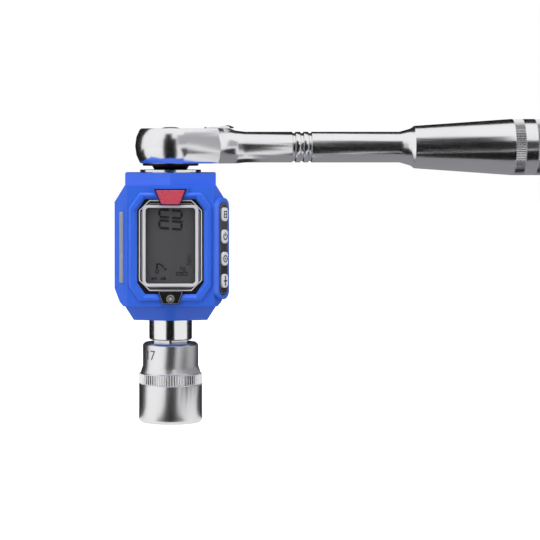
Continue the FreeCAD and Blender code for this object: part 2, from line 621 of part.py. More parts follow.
def bore_for_shaft(body):
    """Openings, bearing seats and running room round the shaft."""
    mouth = "shoulderRadius + mouthGap"
    top = "headRadius + mouthGap"
    turned(body, "ShaftRoom", [
        ("0", "-1"), (mouth, "-1"), (mouth, "lowBushFloor"),
        ("lowBushRadius", "lowBushFloor"), ("lowBushRadius", "lowBushFloor + lowBushHigh"),
        ("ringRoom", "lowBushFloor + lowBushHigh"), ("ringRoom", "topBushFloor - topBushRoom"),
        (top, "topBushFloor - topBushRoom"), (top, "topBushFloor"), ("topBushRadius", "topBushFloor"),
        ("topBushRadius", "topBushFloor + topBushHigh"), (top, "topBushFloor + topBushHigh"),
        (top, "housingHigh + 1"), ("0", "housingHigh + 1")], kind="Groove")


def trapezoid(top, low, topHalf, lowHalf, grow="0"):
    """Wide edge above, narrow edge below, about the housing's middle."""
    return [(f"-({lowHalf} + {grow})", f"{low} - {grow}"), (f"{lowHalf} + {grow}", f"{low} - {grow}"),
            (f"{topHalf} + {grow}", f"{top} + {grow}"), (f"-({topHalf} + {grow})", f"{top} + {grow}")]


def octagon(half, low, high, cut):
    """Upright rectangle with steep corner cuts."""
    narrow = f"({half} - {cut} * cornerSlope)"
    right = [(narrow, low), (f"({half})", f"{low} + {cut}"), (f"({half})", f"{high} - {cut}"),
             (narrow, high)]
    return right + [(f"-{x}", z) for x, z in reversed(right)]


# Faces of the leaning front corners, as distances along their own normal
cornerFace = "(frontHalf * sin(podTurn) + frontDepth * cos(podTurn))"
cornerEnd = "(frontDepth - (sideHalf - frontHalf) * tan(podTurn))"
cornerMiddle = (f"((frontHalf + sideHalf)/2 * cos(podTurn) - (frontDepth + {cornerEnd})/2"
                " * sin(podTurn))")
podFace = f"({cornerFace} + podProud)"
stripFloor = f"({podFace} - stripThick + stripShow)"
keyBack = f"({stripFloor} - podWall - trimGap)"
switchTop = f"({keyBack} - keyLipThick - switchGap)"


def across(half, sign=1):
    """Left and right edges of something centred on a leaning corner face."""
    return (f"{'' if sign > 0 else '-'}{cornerMiddle} - ({half})",
            f"{'' if sign > 0 else '-'}{cornerMiddle} + ({half})")


def key_heights():
    return [f"keyFirst + {index} * keyPitch" for index in range(4)]


def make_front_shell():
    body = new_body("front_shell")
    block = new_sketch(body, "Block", role="XZ_Plane", offset="frontDepth")
    add_outline(block, block_outline())
    pad(body, block, "frontDepth + splitY", Reversed=True)
    corners = new_sketch(body, "Corners")
    for side in (1, -1):
        add_outline(corners, corner_cut(side, "frontDepth", "frontHalf", "tan(podTurn)"))
    pocket(body, corners, "housingHigh", Reversed=True)
    step = new_sketch(body, "PlateauStep", role="XZ_Plane", offset="frontDepth")
    add_rounded(step, "-2*sideHalf", "2*sideHalf", "-blockHigh", "2*blockHigh", "1")
    add_outline(step, octagon("frontHalf", "plateauLow", "plateauHigh", "plateauCut"))
    pocket(body, step, "plateauRise")
    soften(body, "Chamfer", "frontEdge",
           lambda edge: abs(edge.BoundBox.YMin + number("frontDepth")) < 0.01
           and abs(edge.BoundBox.YMax + number("frontDepth")) < 0.01)
    surround = new_sketch(body, "BadgeSurround", role="XZ_Plane", offset="frontDepth")
    add_outline(surround, trapezoid("badgeTop", "badgeLow", "badgeTopHalf", "badgeLowHalf",
                                    "badgeBorder"))
    pad(body, surround, "2*plateauRise", Reversed=True)
    add_collars(body, "-")
    pod = new_sketch(body, "Pod", role="XZ_Plane", offset=podFace, turn="podTurn")
    add_rounded(pod, *across("podHalf"), "podLow", "podHigh", "podCorner")
    pad(body, pod, "podProud + shellWall", Reversed=True)
    room = new_sketch(body, "Cavity", offset="cavityLow")
    inner = "(sideHalf - shellWall)"
    slope = f"(({cornerFace} - shellWall - cavityFront * cos(podTurn)) / sin(podTurn))"
    back = f"(({cornerFace} - shellWall - {inner} * sin(podTurn)) / cos(podTurn))"
    add_outline(room, [(f"-{inner}", "2*splitY"), (f"-{inner}", f"-{back}"),
                       (f"-{slope}", "-cavityFront"), (slope, "-cavityFront"),
                       (inner, f"-{back}"), (inner, "2*splitY")])
    pocket(body, room, "cavityHigh - cavityLow", Reversed=True)
    deck = new_sketch(body, "Deck", offset="deckLow")
    edge = f"({inner} + shellWall/4)"
    add_outline(deck, [(f"-{edge}", "splitY"), (f"-{edge}", "-deckSide"),
                       ("-deckCorner", "-deckFront"), ("deckCorner", "-deckFront"),
                       (edge, "-deckSide"), (edge, "splitY")])
    pad(body, deck, "deckHigh - deckLow")
    bore_for_shaft(body)
    half = "(stopTurn/2 - asin(stopPin / stopInner) / 1 deg - stopSpare)"
    turned(body, "StopLug", [("-stopInner", "deckLow"), ("-stopRoom", "deckLow"),
                             ("-stopRoom", "deckHigh"), ("-stopInner", "deckHigh")],
           role="YZ_Plane", Angle=f"2 * {half}", Midplane=True)
    pin_room(body)
    recess = new_sketch(body, "RecessRim", role="XZ_Plane", offset="frontDepth")
    add_outline(recess, octagon("recessHalf", "recessLow", "recessHigh", "recessCut"))
    floor = new_sketch(body, "RecessFloor", role="XZ_Plane", offset="frontDepth - recessDepth")
    add_outline(floor, octagon("bezelHalf + trimGap", "bezelLow - trimGap", "bezelHigh + trimGap",
                               "bezelCut"))
    dish = body.newObject("PartDesign::SubtractiveLoft", "Dish")
    dish.Profile = recess
    dish.Sections = [floor]
    dish.Ruled = True
    bed = new_sketch(body, "BezelBed", role="XZ_Plane", offset="frontDepth")
    add_outline(bed, octagon("bezelHalf + trimGap", "bezelLow - trimGap", "bezelHigh + trimGap",
                             "bezelCut"))
    pocket(body, bed, "recessDepth + bezelThick + seatPlay/2")
    opening = new_sketch(body, "LcdOpening", role="XZ_Plane", offset="frontDepth - recessDepth")
    add_rounded(opening, "-lcdHalf - 2*trimGap", "lcdHalf + 2*trimGap", "lcdLow - 2*trimGap",
                "lcdHigh + 2*trimGap", "lcdCorner")
    pocket(body, opening, "frontDepth - cavityFront")
    lamp = new_sketch(body, "LampBed", role="XZ_Plane", offset="frontDepth + lampProud")
    add_outline(lamp, trapezoid("lampTop", "lampLow", "lampTopHalf", "lampLowHalf", "trimGap"))
    pocket(body, lamp, "lampProud + lampDeep + trimGap")
    badge = new_sketch(body, "BadgeBed", role="XZ_Plane", offset="frontDepth + badgeProud")
    add_outline(badge, trapezoid("badgeTop", "badgeLow", "badgeTopHalf", "badgeLowHalf", "trimGap"))
    pocket(body, badge, "badgeProud + recessDepth")
    strip = new_sketch(body, "StripBed", role="XZ_Plane", offset=f"{podFace} + stripShow",
                       turn="podTurn")
    add_rounded(strip, *across("stripHalf + trimGap"), "stripLow - trimGap", "stripHigh + trimGap",
                "stripCorner")
    pocket(body, strip, "stripThick")
    keys = new_sketch(body, "KeyOpenings", role="XZ_Plane", offset=podFace, turn="podTurn")
    for height in key_heights():
        add_rounded(keys, *across("keyHalf + keyGap"), f"{height} - keyTall - keyGap",
                    f"{height} + keyTall + keyGap", "keyCorner")
    pocket(body, keys, "podProud + 2*shellWall + podWall")
    hollow = new_sketch(body, "PodRoom", role="XZ_Plane", offset=f"{stripFloor} - podWall",
                        turn="podTurn")
    add_rounded(hollow, *across("keyBoardHalf + 2*trimGap"), "stripLow + keyBoardShort - 2*trimGap",
                "stripHigh - keyBoardShort + 2*trimGap", "keyGap * 4")
    pocket(body, hollow, "podProud + 2*shellWall")
    insert = new_sketch(body, "InsertBed", role="XZ_Plane", offset=f"{cornerFace} + insertProud",
                        turn="-podTurn")
    add_rounded(insert, *across("insertHalf + trimGap", -1), "insertLow - trimGap",
                "insertHigh + trimGap", "insertHalf / 2")
    pocket(body, insert, "insertDeep + insertProud")
    holes = new_sketch(body, "ScrewHoles", role="XZ_Plane", offset="-2*splitY")
    for x in ("-screwX", "screwX"):
        for height in ("screwLow", "screwHigh"):
            add_circle(holes, x, height, "screwRadius")
    pocket(body, holes, "screwEnd + 3*splitY", Reversed=True)
    keep(body, "housingBase")


def pin_room(body):
    """Clear the sweep of the stop pin above and below the deck's lug."""
    hole = new_sketch(body, "PinFit", offset="deckLow")
    add_circle(hole, "0", "0", "stopNeck + stopFit/2")
    pocket(body, hole, "deckThick", Reversed=True)


def make_rear_shell():
    body = new_body("rear_shell")
    block = new_sketch(body, "Block", role="XZ_Plane", offset="-splitY")
    add_outline(block, block_outline())
    pad(body, block, "rearDepth - splitY", Reversed=True)
    corners = new_sketch(body, "Corners")
    for side in (1, -1):
        add_outline(corners, corner_cut(side, "rearDepth", "rearHalf", "rearLean"))
    pocket(body, corners, "housingHigh", Reversed=True)
    add_collars(body, "")
    hump = new_sketch(body, "Hump", role="XZ_Plane", offset="-splitY")
    add_outline(hump, [("-humpHalf", "humpLow"), ("humpHalf", "humpLow"), ("humpHalf", "humpHigh"),
                       ("-humpHalf", "humpHigh")])
    pad(body, hump, "humpDepth - splitY", Reversed=True)
    soften(body, "Fillet", "humpEdge",
           lambda edge: edge.BoundBox.YMax > number("humpDepth") - 0.01
           and edge.BoundBox.YMin > number("humpDepth") - 0.01)
    room = new_sketch(body, "Cavity", offset="cavityLow")
    inner = "(sideHalf - shellWall)"
    add_outline(room, [(f"-{inner}", "0"), (f"-{inner}", "cavityBack"),
                       (inner, "cavityBack"), (inner, "0")])
    pocket(body, room, "cavityHigh - cavityLow", Reversed=True)
    bore_for_shaft(body)
    reach = new_sketch(body, "PinSweep", offset="deckLow")
    add_circle(reach, "0", "0", "stopRoom")
    pocket(body, reach, "deckThick", Reversed=True)
    bay = new_sketch(body, "Bay", role="XZ_Plane", offset="-humpDepth")
    add_rounded(bay, "-bayHalf", "bayHalf", "bayLow", "bayHigh", "bayCorner")
    pocket(body, bay, "humpDepth - bayFloor", Reversed=True)
    door = new_sketch(body, "DoorBed", role="XZ_Plane", offset="-humpDepth")
    add_rounded(door, "-bayHalf - doorLip", "bayHalf + doorLip", "bayLow - doorLip",
                "bayHigh + doorLip", "bayCorner + doorLip/2")
    pocket(body, door, "doorThick + doorGap", Reversed=True)
    holes = new_sketch(body, "ScrewHoles", role="XZ_Plane", offset="-rearDepth")
    seats = new_sketch(body, "ScrewSeats", role="XZ_Plane", offset="-rearDepth")
    for x in ("-screwX", "screwX"):
        for height in ("screwLow", "screwHigh"):
            add_circle(holes, x, height, "screwRadius + screwPass")
            add_circle(seats, x, height, "screwRoom")
    pocket(body, holes, "rearDepth", Reversed=True)
    pocket(body, seats, "rearDepth - screwSeat", Reversed=True)
    keep(body, "housingBase")


# Battery bay pieces
def make_battery_door():
    body = new_body("battery_door")
    panel = new_sketch(body, "Panel", role="XZ_Plane", offset="-humpDepth + doorThick")
    add_rounded(panel, "-bayHalf - doorLip + doorGap", "bayHalf + doorLip - doorGap",
                "bayLow - doorLip + doorGap", "bayHigh + doorLip - doorGap",
                "bayCorner + doorLip/2 - doorGap")
    pad(body, panel, "doorThick", Reversed=True)
    ridges = new_sketch(body, "GripRidges", role="XZ_Plane", offset="-humpDepth")
    for index in range(4):
        low = f"bayLow + ridgeFoot + {index} * ridgePitch"
        high = f"{low} + ridgePitch/2"
        add_outline(ridges, [("-ridgeHalf", low), ("ridgeHalf", low), ("ridgeHalf", high),
                             ("-ridgeHalf", high)])
    pad(body, ridges, "doorRidge", Reversed=True)
    keep(body, "housingBase")


def make_batteries():
    """Two cells side by side, one of them upside down, and the leaf contacts at their ends."""
    cells = []
    leaves = []
    end = "cellLength / 2"
    for side, tag, turn in ((-1, "Left", 0), (1, "Right", 180)):
        cell = new_body(f"Cell{tag}")
        turned(cell, f"CellWall{tag}", [
            ("0", f"-{end}"), ("cellRadius - cellEdge", f"-{end}"), ("cellRadius", f"-{end} + cellEdge"),
            ("cellRadius", f"{end} - cellNubHigh"), ("cellNub", f"{end} - cellNubHigh"),
            ("cellNub", end), ("0", end)])
        cell.Placement = Placement(Vector(), Rotation(Vector(0, 1, 0), turn))
        bind(cell, "Placement.Base.z", "bayMiddle")
        cells.append(cell)
        for up in (-1, 1):
            leaf = new_body(f"Leaf{tag}{'Top' if up > 0 else 'Low'}")
            bent = new_sketch(leaf, f"Bent{leaf.Name}", role="XZ_Plane", offset="contactHalf")
            add_outline(bent, leaf_points(up))
            pad(leaf, bent, "2*contactHalf", Reversed=True)
            bind(leaf, "Placement.Base.z", "bayMiddle")
            leaves.append(leaf)
        for item in [cell] + leaves[-2:]:
            bind(item, "Placement.Base.x", f"{side} * cellX")
            bind(item, "Placement.Base.y", "cellY")
    gather("batteries", cells)
    gather("battery_contacts", leaves)


def leaf_points(up):
    """A sheet-metal leaf on the bay's end wall, bent out to touch the end of a cell."""
    wall = "cellLength/2 + contactRoom"
    inner = [("-contactHalf", f"{wall} - contactThick"), ("-contactTip", "cellLength/2 + contactGap"),
             ("contactTip", "cellLength/2 + contactGap"), ("contactHalf", f"{wall} - contactThick")]
    outer = [("contactHalf", wall), ("-contactHalf", wall)]
    sign = "" if up > 0 else "-"
    return [(x, f"{sign}({z})") for x, z in inner + outer]


def make_screws():
    """Four long screws that clamp the rear shell to the front one."""
    screws = []
    length = "screwHeadThick + screwSeat + screwEnd"
    for x in ("-screwX", "screwX"):
        for height in ("screwLow", "screwHigh"):
            screw = new_body(f"Screw{len(screws)}")
            turned(screw, f"ScrewWall{len(screws)}", [
                ("0", "0"), ("screwHead", "0"), ("screwHead", "screwHeadThick"),
                ("screwRadius - screwFit", "screwHeadThick"), ("screwRadius - screwFit", length),
                ("0", length)])
            screw.Placement = Placement(Vector(), Rotation(Vector(1, 0, 0), 90))
            bind(screw, "Placement.Base.x", x)
            bind(screw, "Placement.Base.y", "screwSeat + screwHeadThick + screwFit")
            bind(screw, "Placement.Base.z", height)
            screws.append(screw)
    gather("housing_screws", screws)


# Display pieces
def plate(label, offset, thick, draw, turn=0):
    """One flat piece facing the viewer: its front face lies at the offset."""
    body = new_body(label)
    sketch = new_sketch(body, f"Face_{label}", role="XZ_Plane", offset=offset, turn=turn)
    draw(sketch)
    pad(body, sketch, thick, Reversed=True)
    return keep(body, "housingBase")


def make_display():
    face = "(frontDepth - recessDepth)"
    bezel = plate("display_bezel", face, "bezelThick",
                  lambda s: add_outline(s, octagon("bezelHalf", "bezelLow", "bezelHigh", "bezelCut")))
    opening = new_sketch(bezel, "WindowOpening", role="XZ_Plane", offset=face)
    add_rounded(opening, "-glassHalf - trimGap", "glassHalf + trimGap", "glassLow - trimGap",
                "glassHigh + trimGap", "glassCorner")
    pocket(bezel, opening, "2*bezelThick")
    notch = new_sketch(bezel, "LampNotch", role="XZ_Plane", offset=face)
    add_outline(notch, trapezoid("lampTop", "lampLow", "lampTopHalf", "lampLowHalf", "trimGap"))
    pocket(bezel, notch, "2*bezelThick")
    frame = plate("display_frame", f"{face} + frameProud", "frameProud",
                  lambda s: add_rounded(s, "-frameHalf", "frameHalf", "frameLow", "frameHigh",
                                        "frameCorner"))
    gap = new_sketch(frame, "FrameOpening", role="XZ_Plane", offset=f"{face} + frameProud")
    add_rounded(gap, "-glassHalf", "glassHalf", "glassLow", "glassHigh", "glassCorner")
    pocket(frame, gap, "2*frameProud")
    soften(frame, "Chamfer", "frameEdge",
           lambda edge: edge.BoundBox.YMax < 0.01 - number(f"{face} + frameProud"))
    plate("display_window", f"{face} - windowSink", "windowThick",
          lambda s: add_rounded(s, "-glassHalf", "glassHalf", "glassLow", "glassHigh", "glassCorner"))
    plate("lcd_module", f"{face} - bezelThick - seatPlay", "lcdThick",
          lambda s: add_rounded(s, "-lcdHalf", "lcdHalf", "lcdLow", "lcdHigh", "lcdCorner"))
    plate("main_board", "boardFront", "boardThick",
          lambda s: add_rounded(s, "-boardHalf", "boardHalf", "boardLow", "boardHigh", "2*lcdCorner"))
    plate("buzzer", "boardFront - boardThick - seatPlay", "buzzerThick",
          lambda s: add_circle(s, "-buzzerX", "buzzerZ", "buzzerRadius"))
    plate("badge_plate", "frontDepth + badgeProud", "badgeProud + recessDepth - seatPlay",
          lambda s: add_outline(s, trapezoid("badgeTop", "badgeLow", "badgeTopHalf", "badgeLowHalf")))
    lamp = plate("lamp_holder", "frontDepth + lampProud", "lampProud + lampDeep",
                 lambda s: add_outline(s, trapezoid("lampTop", "lampLow", "lampTopHalf",
                                                    "lampLowHalf")))
    socket = new_sketch(lamp, "LensHole", role="XZ_Plane", offset="frontDepth + lampProud")
    add_circle(socket, "0", "lensHeight", "lensRadius + seatPlay")
    pocket(lamp, socket, "lampProud + lampDeep - lampFloor")
    lens = new_body("lamp_lens")
    turned(lens, "LensWall", [("0", "lampFloor - lampDeep"), ("lensRadius", "lampFloor - lampDeep"),
                              ("lensRadius", "lampProud + trimGap"),
                              ("lensRadius * 0.8", "lensProud * 0.7"),
                              ("lensRadius * 0.4", "lensProud * 0.95"), ("0", "lensProud")])
    lens.Placement = Placement(Vector(), Rotation(Vector(1, 0, 0), 90))
    bind(lens, "Placement.Base.y", "-frontDepth")
    keep(lens, "housingBase + lensHeight")


def make_keypad():
    strip = plate("keypad_strip", f"{stripFloor} + stripThick", "stripThick",
                  lambda s: add_rounded(s, *across("stripHalf"), "stripLow", "stripHigh",
                                        "stripCorner - trimGap"), turn="podTurn")
    openings = new_sketch(strip, "StripOpenings", role="XZ_Plane",
                          offset=f"{stripFloor} + stripThick", turn="podTurn")
    for height in key_heights():
        add_rounded(openings, *across("keyHalf + keyGap"), f"{height} - keyTall - keyGap",
                    f"{height} + keyTall + keyGap", "keyCorner")
    pocket(strip, openings, "2*stripThick")
    switches = []
    for index, height in enumerate(key_heights(), 1):
        top = f"({stripFloor} + stripThick + keyProud)"
        key = plate(f"key_{index}", top, f"{top} - {keyBack}",
                    lambda s: add_rounded(s, *across("keyHalf"), f"{height} - keyTall",
                                          f"{height} + keyTall", "keyCorner - keyGap"), turn="podTurn")
        lip = new_sketch(key, f"KeyLip{index}", role="XZ_Plane", offset=keyBack, turn="podTurn")
        add_rounded(lip, *across("keyHalf + keyLip"), f"{height} - keyTall - keyLip",
                    f"{height} + keyTall + keyLip", "keyCorner")
        pad(key, lip, "keyLipThick", Reversed=True)
        switch = new_body(f"Switch{index}")
        face = new_sketch(switch, f"SwitchFace{index}", role="XZ_Plane", offset=switchTop,
                          turn="podTurn")
        add_rounded(face, *across("switchHalf"), f"{height} - switchHalf", f"{height} + switchHalf",
                    "keyGap")
        pad(switch, face, "switchThick", Reversed=True)
        switches.append(switch)
    gather("key_switches", switches)
    plate("key_board", f"{switchTop} - switchThick", "keyBoardThick",
          lambda s: add_rounded(s, *across("keyBoardHalf"), "stripLow + keyBoardShort",
                                "stripHigh - keyBoardShort", "2*keyGap"),
          turn="podTurn")


def make_insert():
    body = plate("side_insert", f"{cornerFace} + insertProud", "insertProud + insertDeep",
                 lambda s: add_rounded(s, *across("insertHalf", -1), "insertLow", "insertHigh",
                                       "insertHalf / 2 - trimGap"), turn="-podTurn")
    ribs = new_sketch(body, "Ribs", role="XZ_Plane", offset=f"{cornerFace} + insertProud",
                      turn="-podTurn")
    left, right = across("insertHalf - insertRibShort", -1)
    count = int(number("(insertHigh - insertLow - insertEnd) / insertPitch"))
    for index in range(count):
        low = f"insertLow + insertEnd + {index} * insertPitch"
        add_outline(ribs, [(left, low), (right, low), (right, f"{low} + insertRib"),
                           (left, f"{low} + insertRib")])
    pad(body, ribs, "insertRibProud")


# Ratchet: everything is drawn about the handle's own axis and then raised to its height
def make_handle():
    body = new_body("handle")
    turned(body, "HeadWall", [
        ("0", "headLow"), ("headRim - headEdge", "headLow"), ("headRim", "headLow + headEdge"),
        ("headBelly - headSoft", "headMiddle - headFlat"), ("headBelly", "headMiddle"),
        ("headBelly - headSoft", "headMiddle + headFlat"), ("headRim", "headHigh - headEdge"),
        ("headRim - headEdge", "headHigh"), ("0", "headHigh")])
    sections = []
    for name, x, half in (("RootStart", "waistX", "waistHalf"),
                          ("RootEnd", "neckStart + headEdge", "rootHalf")):
        section = new_sketch(body, name, role="YZ_Plane", offset=x)
        right = [(f"{half} - headEdge", "headLow"), (half, "headLow + headEdge"),
                 (f"{half} + headSwell", "headMiddle - rootFlat"),
                 (f"{half} + headSwell", "headMiddle + rootFlat"),
                 (half, "headHigh - headEdge"), (f"{half} - headEdge", "headHigh")]
        add_outline(section, right + [(f"-({y})", z) for y, z in reversed(right)])
        sections.append(section)
    root = body.newObject("PartDesign::AdditiveLoft", "Root")
    root.Profile, root.Sections = sections[0], [sections[1]]
    root.Ruled = True
    flare = [(f"neckStart - (neckStart - flareStart) * {share}",
              f"neckRadius + (flareWide - neckRadius) * {share ** 2.3:.4f}")
             for share in (1, 0.8, 0.58, 0.33, 0)]
    flare += [("neckStart + flareOver", "neckRadius"), ("neckStart + flareOver", "flareWide + flareRoom"),
              ("flareStart", "flareWide + flareRoom")]
    turned(body, "Flare", flare, axis="H_Axis", kind="Groove")
    neck = [("flareStart", "0"), ("flareStart", "neckRadius")]
    for index in range(3):
        middle = f"grooveFirst + {index} * groovePitch"
        neck += [(f"{middle} - grooveHalf", "neckRadius"),
                 (f"{middle} - grooveHalf/2", "neckRadius - grooveDeep"),
                 (f"{middle} + grooveHalf/2", "neckRadius - grooveDeep"),
                 (f"{middle} + grooveHalf", "neckRadius")]
    neck += [("gripStart", "neckRadius"), ("gripRise - riseStep", "neckRadius + riseSwell"),
             ("gripRise", "riseRadius"), ("gripRise + riseBevel", "gripCollar"),
             ("bandStart - buttEdge", "bandRadius"),
             ("bandStart", "bandRadius"), ("bandStart", "bandRadius - bandSink"),
             ("bandEnd", "bandRadius - bandSink"), ("bandEnd", "bandRadius"),
             ("ringEnd", "bandRadius"), ("ringEnd", "bandRadius - bandSink"),
             ("gripBandEnd", "bandRadius - bandSink"), ("gripBandEnd", "bandRadius"),
             ("gripEnd - buttBevel", "bandRadius"), ("gripEnd - buttEdge", "bandRadius - buttEdge"),
             ("gripEnd", "buttRadius"), ("gripEnd", "0")]
    turned(body, "Neck", neck, axis="H_Axis")
    turned(body, "GearPocket", [
        ("0", "headLow - 1"), ("pocketRadius", "headLow - 1"), ("pocketRadius", "pocketTop"),
        ("journalRadius + journalFit", "pocketTop"), ("journalRadius + journalFit", "headHigh + 1"),
        ("0", "headHigh + 1")], kind="Groove")
    cavity = new_sketch(body, "PawlPocket", offset="pawlPocketLow")
    right = [("gearTip/2", "pawlTipY + pawlRoom"), ("pawlTipX + pawlRoom/2", "pawlTipY + pawlRoom"),
             ("leverX - pawlRoom/2", "pawlHub + pawlRoom")]
    add_outline(cavity, [(x, f"-({y})") for x, y in right] + list(reversed(right)))
    pocket(body, cavity, "pawlPocketTop - pawlPocketLow", Reversed=True)
    hub = new_sketch(body, "PawlHubRoom", offset="pawlPocketLow")
    add_circle(hub, "leverX", "0", "pawlHub + pawlRoom/3")
    pocket(body, hub, "pawlPocketTop - pawlPocketLow", Reversed=True)
    bore = new_sketch(body, "LeverBore", offset="headMiddle")
    add_circle(bore, "leverX", "0", "leverShaft + leverFit")
    pocket(body, bore, "headHigh", Reversed=True)
    keep(body, "handleHeight")


def toothed(body, grow="0"):
    """Cut fine V teeth round a disc of the tip radius."""
    notch = new_sketch(body, f"Notch_{body.Name}", offset="gearLow - gearPlay")
    tip = f"(gearTip + {grow} + toothDeep/2)"
    wide = "(gearTip * sin(180 / gearTeeth) * 1.5)"
    add_outline(notch, [(f"gearRoot + {grow}", "0"), (tip, wide), (tip, f"-{wide}")])
    cut = pocket(body, notch, "gearTop - gearLow + 2*gearPlay", Reversed=True)
    polar(body, cut, "gearTeeth")


def make_gear():
    body = new_body("drive_gear")
    turned(body, "GearWall", [
        ("0", "hubLow"), ("hubFoot", "hubLow"), ("hubRadius", "hubLow + hubFootHigh"),
        ("hubRadius", "gearLow"), ("gearTip", "gearLow"), ("gearTip", "gearTop"),
        ("journalRadius", "gearTop"), ("journalRadius", "journalTop"), ("0", "journalTop")])
    toothed(body)
    anvil = new_sketch(body, "Anvil", offset="hubLow")
    add_outline(anvil, maleSquare)
    pad(body, anvil, "maleLength", Reversed=True)
    turned(body, "ReleaseBore", [
        ("0", "detentLow - releaseRun"), ("releaseBore", "detentLow - releaseRun"),
        ("releaseBore", "buttonFloor"), ("buttonBore", "buttonFloor"),
        ("buttonBore", "journalTop + 1"), ("0", "journalTop + 1")], kind="Groove")
    ball = new_sketch(body, "BallHole", role="XZ_Plane", offset="0", turn="45")
    add_circle(ball, "0", "hubLow - maleLength + detentFromEnd", "detentBall + detentFit")
    pocket(body, ball, "driveSquare", Reversed=True)
    keep(body, "handleHeight")
    make_ball("anvil_detent_ball", "housingBase + seat - maleLength + detentFromEnd")


def make_release():
    body = new_body("quick_release_button")
    low = "detentLow + releaseShort"
    turned(body, "ButtonWall", [
        ("0", low), ("releaseRod - releaseEdge", low), ("releaseRod", f"{low} + releaseEdge"),
        ("releaseRod", "buttonUnder"), ("buttonRadius", "buttonUnder"),
        ("buttonRadius", "journalTop"), ("buttonRadius - releaseEdge", "journalTop + buttonDome * 0.55"),
        ("buttonRadius * 0.5", "journalTop + buttonDome * 0.92"), ("0", "journalTop + buttonDome")])
    keep(body, "handleHeight")
    spring = new_body("release_spring")
    turned(spring, "SpringWall", [
        ("springRadius - springWire", "buttonFloor + springPlay"),
        ("springRadius + springWire", "buttonFloor + springPlay"),
        ("springRadius + springWire", "buttonUnder - springPlay"),
        ("springRadius - springWire", "buttonUnder - springPlay")])
    keep(spring, "handleHeight")


def make_cover():
    body = new_body("gear_cover_ring")
    turned(body, "CoverWall", [
        ("coverBore", "headLow - coverThick"), ("coverRadius - coverEdge", "headLow - coverThick"),
        ("coverRadius", "headLow - coverThick + coverEdge"), ("coverRadius", "headLow"),
        ("coverSpigot", "headLow"), ("coverSpigot", "headLow + coverSpigotHigh"),
        ("coverBore", "headLow + coverSpigotHigh")])
    keep(body, "handleHeight")


def make_pawl():
    blank = new_body("PawlBlank")
    wings = new_sketch(blank, "Wings", offset="pawlLow")
    right = [("pawlToeX", "pawlToeY"), ("pawlTipX", "pawlTipY"), ("pawlWaistX", "pawlWaistY"),
             ("leverX", "pawlWaistY - pawlWaistIn")]
    add_outline(wings, [(x, f"-({y})") for x, y in right] + list(reversed(right)))
    pad(blank, wings, "pawlTop - pawlLow")
    hub = new_sketch(blank, "Hub", offset="pawlLow")
    add_circle(hub, "leverX", "0", "pawlHub")
    pad(blank, hub, "pawlTop - pawlLow")
    bore = new_sketch(blank, "HubBore", offset="pawlLow")
    add_circle(bore, "leverX", "0", "leverShaft + leverFit")
    pocket(blank, bore, "pawlTop - pawlLow", Reversed=True)
    relief = new_sketch(blank, "Relief", offset="pawlLow")
    add_outline(relief, [("0", "-reliefHalf"), ("reliefX", "-reliefHalf"),
                         ("reliefX", "reliefHalf"), ("0", "reliefHalf")])
    pocket(blank, relief, "pawlTop - pawlLow", Reversed=True)
    tools = []
    for name, rock in (("MeshRest", "0"), ("MeshRocked", "-pawlRock")):
        tool = new_body(name)
        disc = new_sketch(tool, f"Disc{name}", offset="gearLow - gearPlay")
        add_circle(disc, "0", "0", "gearTip + pawlMesh")
        pad(tool, disc, "gearTop - gearLow + 2*gearPlay")
        toothed(tool, "pawlMesh")
        bind(tool, "Placement.Base.x", f"leverX - leverX * cos({rock})")
        bind(tool, "Placement.Base.y", f"-leverX * sin({rock})")
        bind(tool, "Placement.Rotation.Angle", rock)
        tools.append(tool)
    first = doc.addObject("Part::Cut", "PawlRestTeeth")
    first.Base, first.Tool = blank, tools[0]
    pawl = doc.addObject("Part::Cut", "pawl")
    pawl.Base, pawl.Tool = first, tools[1]
    pawl.Label = "pawl"
    keep(pawl, "handleHeight")


